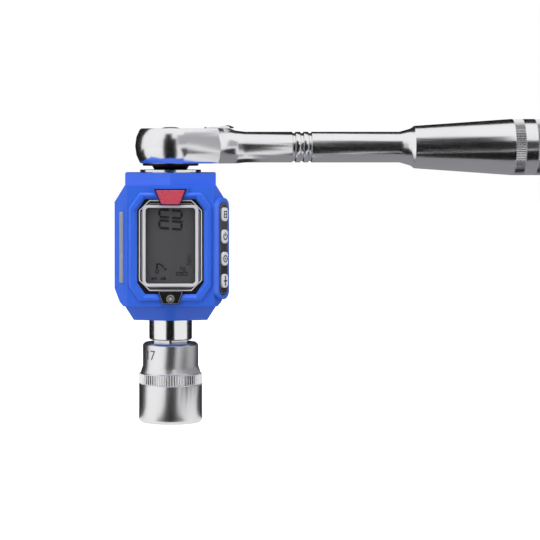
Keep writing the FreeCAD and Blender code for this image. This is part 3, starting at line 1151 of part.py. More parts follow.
def make_lever():
    body = new_body("reversing_lever")
    shaft = new_sketch(body, "LeverShaft", offset="pawlLow")
    add_circle(shaft, "0", "0", "leverShaft")
    pad(body, shaft, "leverPlateLow - pawlLow")
    top = new_sketch(body, "LeverPlate", offset="leverPlateLow")
    add_circle(top, "0", "0", "leverPlateRadius")
    pad(body, top, "leverPlateThick")
    arm = new_sketch(body, "LeverArm", offset="leverPlateLow")
    corner = "leverTabHalf/3"
    add_outline(arm, [("0", "-leverPlateRadius"), (f"leverTabEnd - {corner}", "-leverTabHalf"),
                      ("leverTabEnd", f"{corner} - leverTabHalf"),
                      ("leverTabEnd", f"leverTabHalf - {corner}"),
                      (f"leverTabEnd - {corner}", "leverTabHalf"), ("0", "leverPlateRadius")])
    pad(body, arm, "leverPlateThick")
    tab = new_sketch(body, "ThumbTab", role="XZ_Plane", offset="-leverTabHalf")
    high = "leverPlateLow + leverPlateThick"
    add_outline(tab, [("leverTabStart", high), (f"leverTabStart + {corner}", f"{high} + leverTabHigh/2"),
                      (f"leverTabEnd - 2*{corner}", f"{high} + leverTabHigh"), ("leverTabEnd", high),
                      ("leverTabEnd", "leverPlateLow"), ("leverTabStart", "leverPlateLow")])
    pad(body, tab, "2*leverTabHalf")
    hole = new_sketch(body, "PlungerHole", role="YZ_Plane", offset="-leverShaft")
    add_circle(hole, "0", "plungerZ", "plungerRadius + plungerFit")
    pocket(body, hole, "plungerLength", Reversed=True)
    body.Placement = Placement(Vector(), Rotation(Vector(0, 0, 1), 1))
    bind(body, "Placement.Base.x", "leverX")
    bind(body, "Placement.Rotation.Angle", "-leverTurn")
    keep(body, "handleHeight")
    plunger = doc.addObject("Part::Cylinder", "lever_plunger")
    plunger.Label = "lever_plunger"
    bind(plunger, "Radius", "plungerRadius")
    bind(plunger, "Height", "plungerLength - plungerShort")
    plunger.Placement = Placement(Vector(), Rotation(Vector(0, 0, 1), number("-leverTurn"))
                                  * Rotation(Vector(0, 1, 0), -90))
    start = "(leverShaft - plungerLength + plungerShort - plungerFit)"
    bind(plunger, "Placement.Base.x", f"leverX - {start} * cos(leverTurn)")
    bind(plunger, "Placement.Base.y", f"{start} * sin(leverTurn)")
    keep(plunger, "handleHeight + plungerZ")


for make in (make_socket, make_shaft, make_shaft_trim, make_gauges, make_front_shell,
             make_rear_shell, make_battery_door, make_batteries, make_screws, make_display,
             make_keypad, make_insert, make_handle, make_gear, make_release, make_cover,
             make_pawl, make_lever):
    make()
doc.recompute()

for item in doc.Objects:
    if "Invalid" in item.State or "Error" in item.State:
        raise RuntimeError(f"{item.Label} failed: {item.getStatusString()}")
for node in nodes:
    if node.Shape.isNull() or not node.Shape.isValid():
        raise RuntimeError(f"{node.Label} has no valid shape")

os.makedirs("parts", exist_ok=True)
for node in nodes:
    node.Shape.exportStep(f"parts/{node.Label}.step")
    print(node.Label, len(node.Shape.Solids), round(node.Shape.Volume, 2))
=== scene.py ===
import bpy, bmesh, json, math
from mathutils import Matrix, Vector


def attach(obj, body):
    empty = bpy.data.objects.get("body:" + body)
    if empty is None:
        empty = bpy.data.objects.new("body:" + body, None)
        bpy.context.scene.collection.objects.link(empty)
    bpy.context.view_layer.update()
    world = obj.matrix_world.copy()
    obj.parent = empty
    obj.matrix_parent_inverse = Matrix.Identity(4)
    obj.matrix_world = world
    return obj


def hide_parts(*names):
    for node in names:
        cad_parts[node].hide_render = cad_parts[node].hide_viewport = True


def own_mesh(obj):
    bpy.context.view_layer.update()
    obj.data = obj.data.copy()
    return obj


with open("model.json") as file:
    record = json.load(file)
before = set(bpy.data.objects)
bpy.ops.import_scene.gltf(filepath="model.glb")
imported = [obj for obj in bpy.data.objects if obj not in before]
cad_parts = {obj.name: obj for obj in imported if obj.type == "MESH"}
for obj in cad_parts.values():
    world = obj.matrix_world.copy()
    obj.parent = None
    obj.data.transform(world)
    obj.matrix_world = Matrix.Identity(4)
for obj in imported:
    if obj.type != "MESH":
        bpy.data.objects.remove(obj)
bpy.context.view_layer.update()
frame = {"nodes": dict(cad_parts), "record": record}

mm = 0.001
bodies = frame["record"]["behaviour"]["bodies"]
bodyOf = {node: body for body, group in bodies.items() for node in group}
print("frame loaded")

# camera: eye level with the ratchet, shifted so that the handle leaves on the right
cameraLook = {"distance": 800, "eyeX": 2.06, "eyeZ": 105.2, "pixel": 0.381, "frame": 540,
              "eyePixelX": 176, "eyePixelY": 145, "sensor": 36}


def makeCamera(look):
    data = bpy.data.cameras.new("productCamera")
    data.sensor_width = look["sensor"]
    data.lens = look["sensor"] * look["distance"] / (look["frame"] * look["pixel"])
    data.shift_x = (look["frame"] / 2 - look["eyePixelX"]) / look["frame"]
    data.shift_y = (look["eyePixelY"] - look["frame"] / 2) / look["frame"]
    data.clip_start = 0.01
    data.clip_end = 20
    camera = bpy.data.objects.new("productCamera", data)
    camera.location = (look["eyeX"] * mm, -look["distance"] * mm, look["eyeZ"] * mm)
    camera.rotation_euler = (math.radians(90), 0, 0)
    bpy.context.scene.collection.objects.link(camera)
    bpy.context.scene.camera = camera


makeCamera(cameraLook)


# one socket of a material, so that shader maths reads as a formula
class Wire:
    def __init__(self, tree, socket):
        self.tree = tree
        self.socket = socket

    def maths(self, kind, first, second=0.5):
        node = self.tree.nodes.new("ShaderNodeMath")
        node.operation = kind
        for place, value in zip(node.inputs, (first, second)):
            if isinstance(value, Wire):
                self.tree.links.new(value.socket, place)
            else:
                place.default_value = value
        return Wire(self.tree, node.outputs[0])

    def __add__(self, other):
        return self.maths("ADD", self, other)

    def __radd__(self, other):
        return self.maths("ADD", other, self)

    def __sub__(self, other):
        return self.maths("SUBTRACT", self, other)

    def __rsub__(self, other):
        return self.maths("SUBTRACT", other, self)

    def __mul__(self, other):
        return self.maths("MULTIPLY", self, other)

    def __rmul__(self, other):
        return self.maths("MULTIPLY", other, self)

    def __gt__(self, other):
        return self.maths("GREATER_THAN", self, other)

    def clamped(self):
        wire = self.maths("ADD", self, 0.0)
        wire.socket.node.use_clamp = True
        return wire


# one material: a Principled surface and a short way to add nodes to it
class Finish:
    def __init__(self, name, **fixed):
        self.material = bpy.data.materials.new(name)
        self.material.use_nodes = True
        self.tree = self.material.node_tree
        self.surface = next(n for n in self.tree.nodes if n.type == "BSDF_PRINCIPLED")
        self.output = next(n for n in self.tree.nodes if n.type == "OUTPUT_MATERIAL")
        self.place = self.node("ShaderNodeTexCoord").outputs["Object"]
        for name, value in fixed.items():
            self.feed(name, value)

    def node(self, kind, settings=None, **sockets):
        made = self.tree.nodes.new(kind)
        for key, value in (settings or {}).items():
            setattr(made, key, value)
        for key, value in sockets.items():
            self.join(value, made.inputs[key.replace("_", " ")])
        return made

    def join(self, value, socket):
        if isinstance(value, Wire):
            self.tree.links.new(value.socket, socket)
        elif isinstance(value, bpy.types.NodeSocket):
            self.tree.links.new(value, socket)
        else:
            socket.default_value = value

    def feed(self, name, value):
        if isinstance(value, tuple) and len(value) == 3:
            value = (*value, 1.0)
        self.join(value, self.surface.inputs[name.replace("_", " ")])

    def noise(self, scale, detail=2.0, stretch=(1, 1, 1)):
        mapping = self.node("ShaderNodeMapping", None, Vector=self.place, Scale=stretch)
        made = self.node("ShaderNodeTexNoise", None, Vector=mapping.outputs[0], Scale=scale,
                         Detail=detail)
        return Wire(self.tree, made.outputs["Fac"])

    def blend(self, factor, first, second):
        made = self.node("ShaderNodeMix", {"data_type": "RGBA"})
        self.join(factor, made.inputs[0])
        for value, socket in ((first, made.inputs[6]), (second, made.inputs[7])):
            self.join((*value, 1.0) if isinstance(value, tuple) and len(value) == 3 else value, socket)
        return made.outputs[2]

    def bump(self, height, strength, distance):
        made = self.node("ShaderNodeBump", None, Strength=strength, Distance=distance)
        self.join(height, made.inputs["Height"])
        self.feed("Normal", made.outputs[0])


def shade(colour, factor):
    return tuple(part * factor for part in colour)


# metals: cloudy polish, fine marks along or round the piece, and a few dull specks
polish = {"cloudScale": 55, "markScale": 900, "markHeight": 0.4, "rippleScale": 130, "bump": 0.25,
          "speckScale": 1400, "speckFrom": 0.7, "speckShare": 0.5, "speckTone": 0.4,
          "speckRough": 0.06, "dirt": 0.08}


def metal(name, colour, rough, cloud=0.05, grain=(1, 1, 1), grainDepth=0.00001, ripple=0.0):
    finish = Finish(name, Metallic=1.0)
    clouds = finish.noise(polish["cloudScale"], 3)
    marks = finish.noise(polish["markScale"], 2, grain)
    specks = (finish.noise(polish["speckScale"], 1) > polish["speckFrom"]) * polish["speckShare"]
    finish.feed("Base_Color", finish.blend((clouds + specks * polish["speckTone"]).clamped(), colour,
                                           shade(colour, 1 - polish["dirt"])))
    finish.feed("Roughness", rough + (clouds - 0.5) * cloud + (marks - 0.5) * cloud
                + specks * polish["speckRough"])
    finish.bump(marks * polish["markHeight"] + finish.noise(polish["rippleScale"], 1) * ripple,
                polish["bump"], grainDepth)
    return finish.material


# moulded plastics: fine grain, a slight change of tone and faint rubbing marks
moulding = {"cloudScale": 70, "scuffScale": 260, "scuffStretch": (1, 1, 0.15), "grainRough": 0.12,
            "scuffHeight": 0.2}


def plastic(name, colour, rough, grainScale=3200, grainDepth=0.00002, tone=0.1, strength=0.3, rub=0.1):
    finish = Finish(name)
    clouds = finish.noise(moulding["cloudScale"], 2)
    grain = finish.noise(grainScale, 2)
    scuffs = finish.noise(moulding["scuffScale"], 3, moulding["scuffStretch"])
    finish.feed("Base_Color", finish.blend(clouds, colour, shade(colour, 1 - tone)))
    finish.feed("Roughness", rough + (grain - 0.5) * moulding["grainRough"] + (scuffs - 0.5) * rub)
    finish.bump(grain + scuffs * moulding["scuffHeight"], strength, grainDepth)
    return finish.material


# clear covers: nearly even, with a faint haze
haze = {"toneScale": 60, "tone": 0.05, "roughScale": 300, "roughShare": 0.03}


def clearPlastic(name, colour, alpha, rough=0.04):
    finish = Finish(name, Alpha=alpha)
    finish.feed("Base_Color", finish.blend(finish.noise(haze["toneScale"], 2), colour,
                                           shade(colour, 1 - haze["tone"])))
    finish.feed("Roughness", rough + finish.noise(haze["roughScale"], 2) * haze["roughShare"])
    return finish.material


metals = {
    "headChrome": {"colour": (0.86, 0.86, 0.875), "rough": 0.2, "cloud": 0.04, "grain": (0.2, 1, 1),
                   "grainDepth": 0.000008, "ripple": 0.3},
    "shaftChrome": {"colour": (0.88, 0.88, 0.89), "rough": 0.16, "grain": (1, 1, 0.15)},
    "satinChrome": {"colour": (0.84, 0.84, 0.85), "rough": 0.3, "cloud": 0.04,
                    "grain": (0.12, 0.12, 1)},
    "knurledChrome": {"colour": (0.84, 0.84, 0.85), "rough": 0.28, "cloud": 0.06},
    # near-black steel for the drive gear, cover ring and pawl: painted shade under the head
    "paintedShadeSteel": {"colour": (0.03, 0.03, 0.05), "rough": 0.36, "cloud": 0.1},
    "springSteel": {"colour": (0.5, 0.5, 0.52), "rough": 0.25, "cloud": 0.08},
    "bearingBronze": {"colour": (0.62, 0.42, 0.2), "rough": 0.35, "cloud": 0.1},
    "gaugeFoil": {"colour": (0.75, 0.5, 0.22), "rough": 0.4, "cloud": 0.1},
    "markEtched": {"colour": (0.16, 0.16, 0.165), "rough": 0.5, "cloud": 0.08},
    "reflectorSilver": {"colour": (0.36, 0.36, 0.38), "rough": 0.22},
}
plastics = {
    "shellBlue": {"colour": (0.026, 0.12, 0.68), "rough": 0.34},
    # silver of the display frame, and also the painted highlight line on the bezel's outer edge
    "frameSilverAndHighlight": {"colour": (0.56, 0.55, 0.57), "rough": 0.34, "grainScale": 2500,
                    "grainDepth": 0.000006, "tone": 0.06, "strength": 0.2, "rub": 0.05},
    # grey for painted highlight lines along glossy black edges
    "highlightGrey": {"colour": (0.2, 0.2, 0.21), "rough": 0.4, "grainScale": 2500,
                   "grainDepth": 0.000006, "tone": 0.06, "strength": 0.2, "rub": 0.05},
    "glossBlack": {"colour": (0.012, 0.012, 0.015), "rough": 0.16, "grainScale": 900,
                   "grainDepth": 0.000004, "tone": 0.2, "strength": 0.2, "rub": 0.05},
    "matteBlack": {"colour": (0.02, 0.02, 0.022), "rough": 0.5},
    "displayGrey": {"colour": (0.062, 0.062, 0.066), "rough": 0.6, "grainScale": 500,
                    "grainDepth": 0.000003, "tone": 0.12},
    "inkBlack": {"colour": (0.004, 0.004, 0.005), "rough": 0.5, "grainScale": 800,
                 "grainDepth": 0.000002},
    "boardGreen": {"colour": (0.02, 0.2, 0.08), "rough": 0.4},
    "keySilver": {"colour": (0.7, 0.7, 0.73), "rough": 0.3, "grainScale": 2500,
                  "grainDepth": 0.00001, "tone": 0.04},
    # painted highlight along the key strip's edge
    "stripHighlightLine": {"colour": (0.16, 0.2, 0.34), "rough": 0.4, "grainScale": 1500,
                  "grainDepth": 0.000004},
    "badgeRed": {"colour": (0.5, 0.062, 0.095), "rough": 0.28, "grainScale": 1500,
                 "grainDepth": 0.000008},
    # near-black navy for the painted shadow in the gap round the badge
    "badgeGapShade": {"colour": (0.01, 0.015, 0.09), "rough": 0.3, "grainScale": 1500,
                  "grainDepth": 0.000006},
    "insertGrey": {"colour": (0.3, 0.32, 0.37), "rough": 0.55},
    "cellWrap": {"colour": (0.03, 0.03, 0.035), "rough": 0.3},
    "lightDie": {"colour": (0.85, 0.8, 0.45), "rough": 0.4, "grainScale": 1500,
                 "grainDepth": 0.000004},
}
clearCovers = {
    "windowClear": {"colour": (0.08, 0.08, 0.085), "alpha": 0.05, "rough": 0.08},
    "lensClear": {"colour": (0.4, 0.41, 0.43), "alpha": 0.2},
}
finishes = {name: metal(name, **look) for name, look in metals.items()}
finishes.update({name: plastic(name, **look) for name, look in plastics.items()})
finishes.update({name: clearPlastic(name, **look) for name, look in clearCovers.items()})

# which finish each CAD node wears
nodeFinish = {
    "socket": "satinChrome", "torque_shaft": "shaftChrome", "lower_bush": "bearingBronze",
    "upper_bush": "bearingBronze", "shaft_retaining_ring": "springSteel",
    "turn_stop_pin": "springSteel", "shaft_detent_ball": "springSteel",
    "strain_gauges": "gaugeFoil", "front_shell": "shellBlue", "rear_shell": "shellBlue",
    "battery_door": "shellBlue", "batteries": "cellWrap", "battery_contacts": "springSteel",
    "housing_screws": "springSteel", "display_bezel": "glossBlack",
    "display_frame": "frameSilverAndHighlight", "display_window": "windowClear",
    "lcd_module": "displayGrey", "main_board": "boardGreen", "buzzer": "matteBlack",
    "badge_plate": "badgeRed", "lamp_holder": "glossBlack", "lamp_lens": "lensClear",
    "keypad_strip": "glossBlack", "key_1": "keySilver", "key_2": "keySilver",
    "key_3": "keySilver", "key_4": "keySilver", "key_switches": "matteBlack",
    "key_board": "boardGreen", "side_insert": "insertGrey", "handle": "headChrome",
    "drive_gear": "paintedShadeSteel", "anvil_detent_ball": "springSteel",
    "quick_release_button": "shaftChrome", "release_spring": "springSteel",
    "gear_cover_ring": "paintedShadeSteel", "pawl": "paintedShadeSteel", "reversing_lever": "headChrome",
    "lever_plunger": "springSteel",
}
for nodeName, node in frame["nodes"].items():
    node.data.materials.clear()
    node.data.materials.append(finishes[nodeFinish[nodeName]])
print("finishes made")


def finishPiece(name, form, finish, body, replaces=(), smoothAngle=None):
    mesh = bpy.data.meshes.new(name)
    form.to_mesh(mesh)
    form.free()
    piece = bpy.data.objects.new(name, mesh)
    bpy.context.scene.collection.objects.link(piece)
    mesh.materials.append(finishes[finish])
    if smoothAngle is not None:
        mesh.shade_smooth()
        mesh.set_sharp_from_angle(angle=math.radians(smoothAngle))
    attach(piece, body)
    if replaces:
        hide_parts(*replaces)
    return piece


# how a copy of a CAD node is merged, and from which angle an edge is rounded and stays sharp
dressLook = {"mergeGap": 0.002, "flatAngle": 0.6, "sharpAngle": 28, "springAngle": 30}


def copyNode(nodeName):
    form = bmesh.new()
    form.from_mesh(frame["nodes"][nodeName].data)
    bmesh.ops.remove_doubles(form, verts=form.verts, dist=dressLook["mergeGap"] * mm)
    return form


# a CAD node's own shape with its loose triangles merged, its edges rounded and its curves smooth
def dressNode(nodeName, look):
    form = copyNode(nodeName)
    bmesh.ops.dissolve_limit(form, angle_limit=math.radians(dressLook["flatAngle"]), verts=form.verts,
                             edges=form.edges)
    angle = dressLook["sharpAngle"]
    piece = finishPiece(look["piece"], form, nodeFinish[nodeName], bodyOf[nodeName],
                        [nodeName], angle)
    bevel = piece.modifiers.new("roundedEdges", "BEVEL")
    bevel.width = look["round"] * mm
    bevel.segments = look.get("segments", 2)
    bevel.limit_method = "ANGLE"
    bevel.angle_limit = math.radians(angle)
    bevel.harden_normals = True
    bevel.use_clamp_overlap = True


dressing = {
    "front_shell": {"piece": "frontShell", "round": 0.3, "segments": 3},
    "rear_shell": {"piece": "rearShell", "round": 0.3, "segments": 3},
    "battery_door": {"piece": "batteryDoor", "round": 0.2},
    "display_bezel": {"piece": "bezelPlate", "round": 0.12},
    "display_frame": {"piece": "windowFrame", "round": 0.12},
    "badge_plate": {"piece": "badgeTop", "round": 0.45, "segments": 1},
    "lamp_holder": {"piece": "lampHousing", "round": 0.15},
    "keypad_strip": {"piece": "keyStrip", "round": 0.08},
    "key_1": {"piece": "keyFirst", "round": 0.22, "segments": 3},
    "key_2": {"piece": "keySecond", "round": 0.22, "segments": 3},
    "key_3": {"piece": "keyThird", "round": 0.22, "segments": 3},
    "key_4": {"piece": "keyFourth", "round": 0.22, "segments": 3},
    "side_insert": {"piece": "sideRibs", "round": 0.1},
    "housing_screws": {"piece": "housingScrews", "round": 0.15},
    "socket": {"piece": "socketShell", "round": 0.15},
    "torque_shaft": {"piece": "shaftDressed", "round": 0.12},
    "handle": {"piece": "ratchetHandle", "round": 0.2},
    "drive_gear": {"piece": "driveAnvil", "round": 0.08},
    "gear_cover_ring": {"piece": "coverRing", "round": 0.1},
    "quick_release_button": {"piece": "releaseButton", "round": 0.15},
    "reversing_lever": {"piece": "leverPlate", "round": 0.15},
}
for nodeName, look in dressing.items():
    dressNode(nodeName, look)

# the release spring: a merged copy of its CAD node, with a mesh of its own
coil = copyNode("release_spring")
spring = finishPiece("releaseSpring", coil, nodeFinish["release_spring"], bodyOf["release_spring"],
                     ["release_spring"], dressLook["springAngle"])
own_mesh(spring)
print("nodes dressed")


def turnForm(form, verts, degrees, axis="Z"):
    bmesh.ops.rotate(form, verts=verts, cent=(0, 0, 0),
                     matrix=Matrix.Rotation(math.radians(degrees), 3, axis))


# straight-toothed knurl band round the Z axis or the X axis
def knurlBand(name, look, finish, body):
    form = bmesh.new()
    bmesh.ops.create_circle(form, cap_ends=False, radius=look["tip"] * mm, segments=look["teeth"] * 2)
    form.verts.ensure_lookup_table()
    for index, vert in enumerate(form.verts):
        if index % 2:
            vert.co *= look["root"] / look["tip"]
    rings = [list(form.edges)]
    for lift, widen in look["rings"]:
        made = bmesh.ops.extrude_edge_only(form, edges=rings[-1])
        verts = [v for v in made["geom"] if isinstance(v, bmesh.types.BMVert)]
        for vert in verts:
            vert.co.z += lift * mm
            radius = math.hypot(vert.co.x, vert.co.y)
            vert.co.x *= (radius + widen * mm) / radius
            vert.co.y *= (radius + widen * mm) / radius
        rings.append([e for e in made["geom"] if isinstance(e, bmesh.types.BMEdge)])
    bmesh.ops.contextual_create(form, geom=rings[0])
    bmesh.ops.contextual_create(form, geom=rings[-1])
    bmesh.ops.recalc_face_normals(form, faces=form.faces)
    if look["alongX"]:
        turnForm(form, form.verts, 90, "Y")
    bmesh.ops.translate(form, verts=form.verts, vec=Vector(look["start"]) * mm)
    finishPiece(name, form, finish, body)


# steps along a band: how far each ring lies from the one before, and how much wider it is
def bandRings(length, edge):
    return [(edge, edge), (length - 2 * edge, 0), (edge, -edge)]


socketBand = {"teeth": 72, "tip": 11.75, "root": 11.3, "start": (0, 0, 14.55), "alongX": False,
              "rings": bandRings(3.9, 0.25)}
gripBandFront = {"teeth": 96, "tip": 10.55, "root": 10.25, "start": (130.15, 0, 104.4),
                 "alongX": True, "rings": bandRings(3.9, 0.15)}
gripBandRear = {"teeth": 96, "tip": 10.55, "root": 10.25, "start": (138.55, 0, 104.4),
                "alongX": True, "rings": bandRings(39.4, 0.15)}
knurlBand("socketKnurl", socketBand, "knurledChrome", "socket")
knurlBand("gripKnurlFront", gripBandFront, "knurledChrome", "handle")
knurlBand("gripKnurlRear", gripBandRear, "knurledChrome", "handle")
print("knurls made")


# flat drawings: bars, arcs, discs and words are drawn in the XY plane, in millimetres, x and z
def newBar(form, x, z, length, width, turn=0, cut=0.45):
    verts = bmesh.ops.create_grid(form, x_segments=1, y_segments=1, size=0.5)["verts"]
    bmesh.ops.scale(form, verts=verts, vec=(length * mm, width * mm, 1))
    turnForm(form, verts, turn)
    bmesh.ops.translate(form, verts=verts, vec=(x * mm, z * mm, 0))
    if cut:
        bmesh.ops.bevel(form, geom=verts, offset=width * cut * mm, affect="VERTICES", segments=2,
                        profile=0.5, material=-1)


def newDisc(form, x, z, radius, sides=24, turn=0):
    verts = bmesh.ops.create_circle(form, cap_ends=True, radius=radius * mm, segments=sides)["verts"]
    turnForm(form, verts, turn)
    bmesh.ops.translate(form, verts=verts, vec=(x * mm, z * mm, 0))


def newArc(form, x, z, radius, width, start, sweep, steps=24):
    aim = Vector((math.cos(math.radians(start)), math.sin(math.radians(start)), 0))
    centre = Vector((x, z, 0)) * mm
    ends = [form.verts.new(centre + aim * (radius + side * width / 2) * mm) for side in (-1, 1)]
    edge = form.edges.new(ends)
    bmesh.ops.spin(form, geom=[*ends, edge], cent=centre, axis=(0, 0, 1), dvec=(0, 0, 0),
                   angle=math.radians(sweep), steps=steps, use_merge=sweep >= 360)


def newWord(form, text, x, z, size, turn=0):
    curve = bpy.data.curves.new("word", "FONT")
    curve.body = text
    curve.size = size * mm
    curve.align_x = "CENTER"
    curve.align_y = "CENTER"
    holder = bpy.data.objects.new("word", curve)
    bpy.context.scene.collection.objects.link(holder)
    mesh = bpy.data.meshes.new_from_object(holder)
    before = set(form.verts)
    form.from_mesh(mesh)
    verts = [vert for vert in form.verts if vert not in before]
    turnForm(form, verts, turn)
    bmesh.ops.translate(form, verts=verts, vec=(x * mm, z * mm, 0))
    bpy.data.objects.remove(holder)
    bpy.data.curves.remove(curve)
    bpy.data.meshes.remove(mesh)


# gives a drawing its thickness, from z = 0 upwards
def thicken(form, thick):
    for face in form.faces:
        if face.normal.z < 0:
            face.normal_flip()
    bmesh.ops.solidify(form, geom=form.faces[:], thickness=thick * mm)
    low = min(vert.co.z for vert in form.verts)
    bmesh.ops.translate(form, verts=form.verts, vec=(0, 0, -low))
    bmesh.ops.recalc_face_normals(form, faces=form.faces)


# stands a drawing upright on a front face: depth is how far the face is from the drive axis
def standUp(form, thick, depth, turn=0):
    form.normal_update()
    thicken(form, thick)
    turnForm(form, form.verts, 90, "X")
    bmesh.ops.translate(form, verts=form.verts, vec=(0, -depth * mm, 0))
    turnForm(form, form.verts, turn)


# a closed line of even width, drawn from its outer corners
def newLoop(form, corners, width):
    face = form.faces.new([form.verts.new((x * mm, z * mm, 0)) for x, z in corners])
    face.normal_update()
    bmesh.ops.inset_region(form, faces=[face], thickness=width * mm, use_boundary=True,
                           use_even_offset=True)
    bmesh.ops.delete(form, geom=[face], context="FACES_ONLY")


def octagonCorners(half, low, high, cut):
    side = [(half - cut, low), (half, low + cut), (half, high - cut), (half - cut, high)]
    return side + [(-x, z) for x, z in reversed(side)]


def trapezoidCorners(top, low):
    return [(-top[0], top[1]), (-low[0], low[1]), low, top]


def boxCorners(x, z, halfWide, halfHigh):
    return [(x - halfWide, z - halfHigh), (x + halfWide, z - halfHigh),
            (x + halfWide, z + halfHigh), (x - halfWide, z + halfHigh)]


# display: two lying zeros with their point
displayLook = {"front": 17.49, "thick": 0.04}
figureLook = {"halfLong": 4.6, "halfWide": 1.4, "bar": 0.95, "gap": 0.9, "lean": -4.5,
              "zeros": (79.5, 75.4), "point": (4.45, 76.75, 0.32)}


def lyingZero(form, look, middle):
    slope = math.tan(math.radians(look["lean"]))
    for side in (-1, 1):
        along = side * look["halfLong"] / 2
        for edge in (-1, 1):
            newBar(form, along, middle + edge * look["halfWide"] + along * slope,
                   look["halfLong"] - look["gap"], look["bar"], look["lean"])
        end = side * (look["halfLong"] - look["bar"] / 2)
        newBar(form, end, middle + end * slope, look["bar"], 2 * look["halfWide"] - look["gap"])


figures = bmesh.new()
for middle in figureLook["zeros"]:
    lyingZero(figures, figureLook, middle)
newDisc(figures, *figureLook["point"])
standUp(figures, displayLook["thick"], displayLook["front"])
finishPiece("displayFigures", figures, "inkBlack", "housing")

# display: a wrench sign with its turning arrow, and two small arrows that point outwards
signLook = {"shank": (-5.0, 59.9, 0.75, 2.2), "jaw": (-5.0, 58.0, 0.55, 0.45, 110, 320),
            "turnArrow": (-4.6, 58.9, 2.0, 0.6, 20, 75), "turnPoint": (-1.95, 58.9, 0.75, 3, 60),
            "arrows": ((-1, -6.1), (1, -2.75)), "height": 55.4, "shaft": (2.1, 0.45),
            "point": 0.85, "pointAt": 0.55, "tail": (0.35, 1.3), "tailAt": 0.75}
signs = bmesh.new()
newBar(signs, *signLook["shank"])
newArc(signs, *signLook["jaw"])
newArc(signs, *signLook["turnArrow"])
newDisc(signs, *signLook["turnPoint"])
for side, middle in signLook["arrows"]:
    newBar(signs, middle, signLook["height"], *signLook["shaft"])
    newDisc(signs, middle + side * signLook["pointAt"], signLook["height"], signLook["point"], 3,
            90 - side * 90)
    newBar(signs, middle - side * signLook["tailAt"], signLook["height"], *signLook["tail"])
standUp(signs, displayLook["thick"], displayLook["front"])
finishPiece("displaySigns", signs, "inkBlack", "housing")

# display: unit signs and two open cells
unitLook = {"words": (("Nm", 6.9, 62.3, 2.6, 90), ("kg", 4.6, 59.3, 2.4, 0)), "cells": (3.2, 5.4),
            "height": 57.2, "halfWide": 1.0, "halfHigh": 0.7, "line": 0.35}
units = bmesh.new()
for word in unitLook["words"]:
    newWord(units, *word)
for middle in unitLook["cells"]:
    newLoop(units, boxCorners(middle, unitLook["height"], unitLook["halfWide"], unitLook["halfHigh"]),
            unitLook["line"])
standUp(units, displayLook["thick"], displayLook["front"])
finishPiece("displayUnits", units, "inkBlack", "housing")
print("display figures made")


def newOutline(name, corners, width, thick, front, finish, turn=0):
    form = bmesh.new()
    newLoop(form, corners, width)
    standUp(form, thick, front, turn)
    finishPiece(name, form, finish, "housing")


# two thin lines round the display, painted highlights of the bezel's bevelled edges, then the dark rim
# of the badge, a painted shadow of the gap round it
bezelLook = {"front": 18.58, "outer": (11.75, 50.9, 84.75, 3.9), "outerWidth": 0.42, "outerThick": 0.1,
             "inner": (10.95, 51.9, 83.55, 3.3), "innerWidth": 0.28, "innerThick": 0.05}
newOutline("bezelHighlightLine", octagonCorners(*bezelLook["outer"]), bezelLook["outerWidth"],
           bezelLook["outerThick"], bezelLook["front"], "frameSilverAndHighlight")
newOutline("bezelInnerHighlightLine", octagonCorners(*bezelLook["inner"]), bezelLook["innerWidth"],
           bezelLook["innerThick"], bezelLook["front"], "highlightGrey")

# dark rim round the badge: painted shadow of the gap between badge and shell
badgeLook = {"front": 19.98, "thick": 0.22, "top": (6.15, 88.9), "low": (3.65, 82.75), "width": 0.48}
newOutline("badgeGapShadow", trapezoidCorners(badgeLook["top"], badgeLook["low"]), badgeLook["width"],
           badgeLook["thick"], badgeLook["front"], "badgeGapShade")

# pictures on the keys: generic signs only, each riding on its own key
keyLook = {"face": 27.215, "thick": 0.05, "turn": 53.0, "middle": -2.07, "first": 54.6, "pitch": 8.25}


def keySign(index, name, draw):
    form = bmesh.new()
    draw(form, keyLook["middle"], keyLook["first"] + (index - 1) * keyLook["pitch"])
    standUp(form, keyLook["thick"], keyLook["face"], keyLook["turn"])
    finishPiece(name, form, "inkBlack", f"key_{index}")


plusLook = {"wide": 2.1, "high": 3.2, "line": 0.5, "tip": 0.6, "tipAt": 1.5, "cut": 0.2}
ringLook = {"radius": 1.15, "line": 0.45, "dot": 0.4}
powerLook = {"radius": 1.1, "line": 0.45, "start": 125, "sweep": 290, "long": 1.6, "up": 0.9,
             "cut": 0.2}
sheetLook = {"halfWide": 1.0, "halfHigh": 1.3, "line": 0.4, "row": 1.1, "cut": 0.2}


def drawPlus(form, x, z):
    newBar(form, x, z, plusLook["wide"], plusLook["line"], 0, plusLook["cut"])
    newBar(form, x, z, plusLook["line"], plusLook["high"], 0, plusLook["cut"])
    newDisc(form, x, z + plusLook["tipAt"], plusLook["tip"], 3, 90)
    newDisc(form, x, z - plusLook["tipAt"], plusLook["tip"], 3, -90)


def drawRing(form, x, z):
    newArc(form, x, z, ringLook["radius"], ringLook["line"], 0, 360)
    newDisc(form, x, z, ringLook["dot"])


def drawPower(form, x, z):
    newArc(form, x, z, powerLook["radius"], powerLook["line"], powerLook["start"], powerLook["sweep"])
    newBar(form, x, z + powerLook["up"], powerLook["line"], powerLook["long"], 0, powerLook["cut"])


def drawSheet(form, x, z):
    newLoop(form, boxCorners(x, z, sheetLook["halfWide"], sheetLook["halfHigh"]), sheetLook["line"])
    newBar(form, x, z, sheetLook["row"], sheetLook["line"], 0, sheetLook["cut"])


keySign(1, "keySignPlus", drawPlus)
keySign(2, "keySignRing", drawRing)
keySign(3, "keySignPower", drawPower)
keySign(4, "keySignSheet", drawSheet)

# thin light line round the key strip, a painted highlight of its edge, turned to face as the keys do
stripLook = {"face": 26.505, "thick": 0.06, "edge": (2.2, 49.7, 83.5, 1.3), "width": 0.14}
newOutline("stripEdgeHighlight",
           [(x + keyLook["middle"], z) for x, z in octagonCorners(*stripLook["edge"])],
           stripLook["width"], stripLook["thick"], stripLook["face"], "stripHighlightLine",
           keyLook["turn"])
print("trim lines and key signs made")
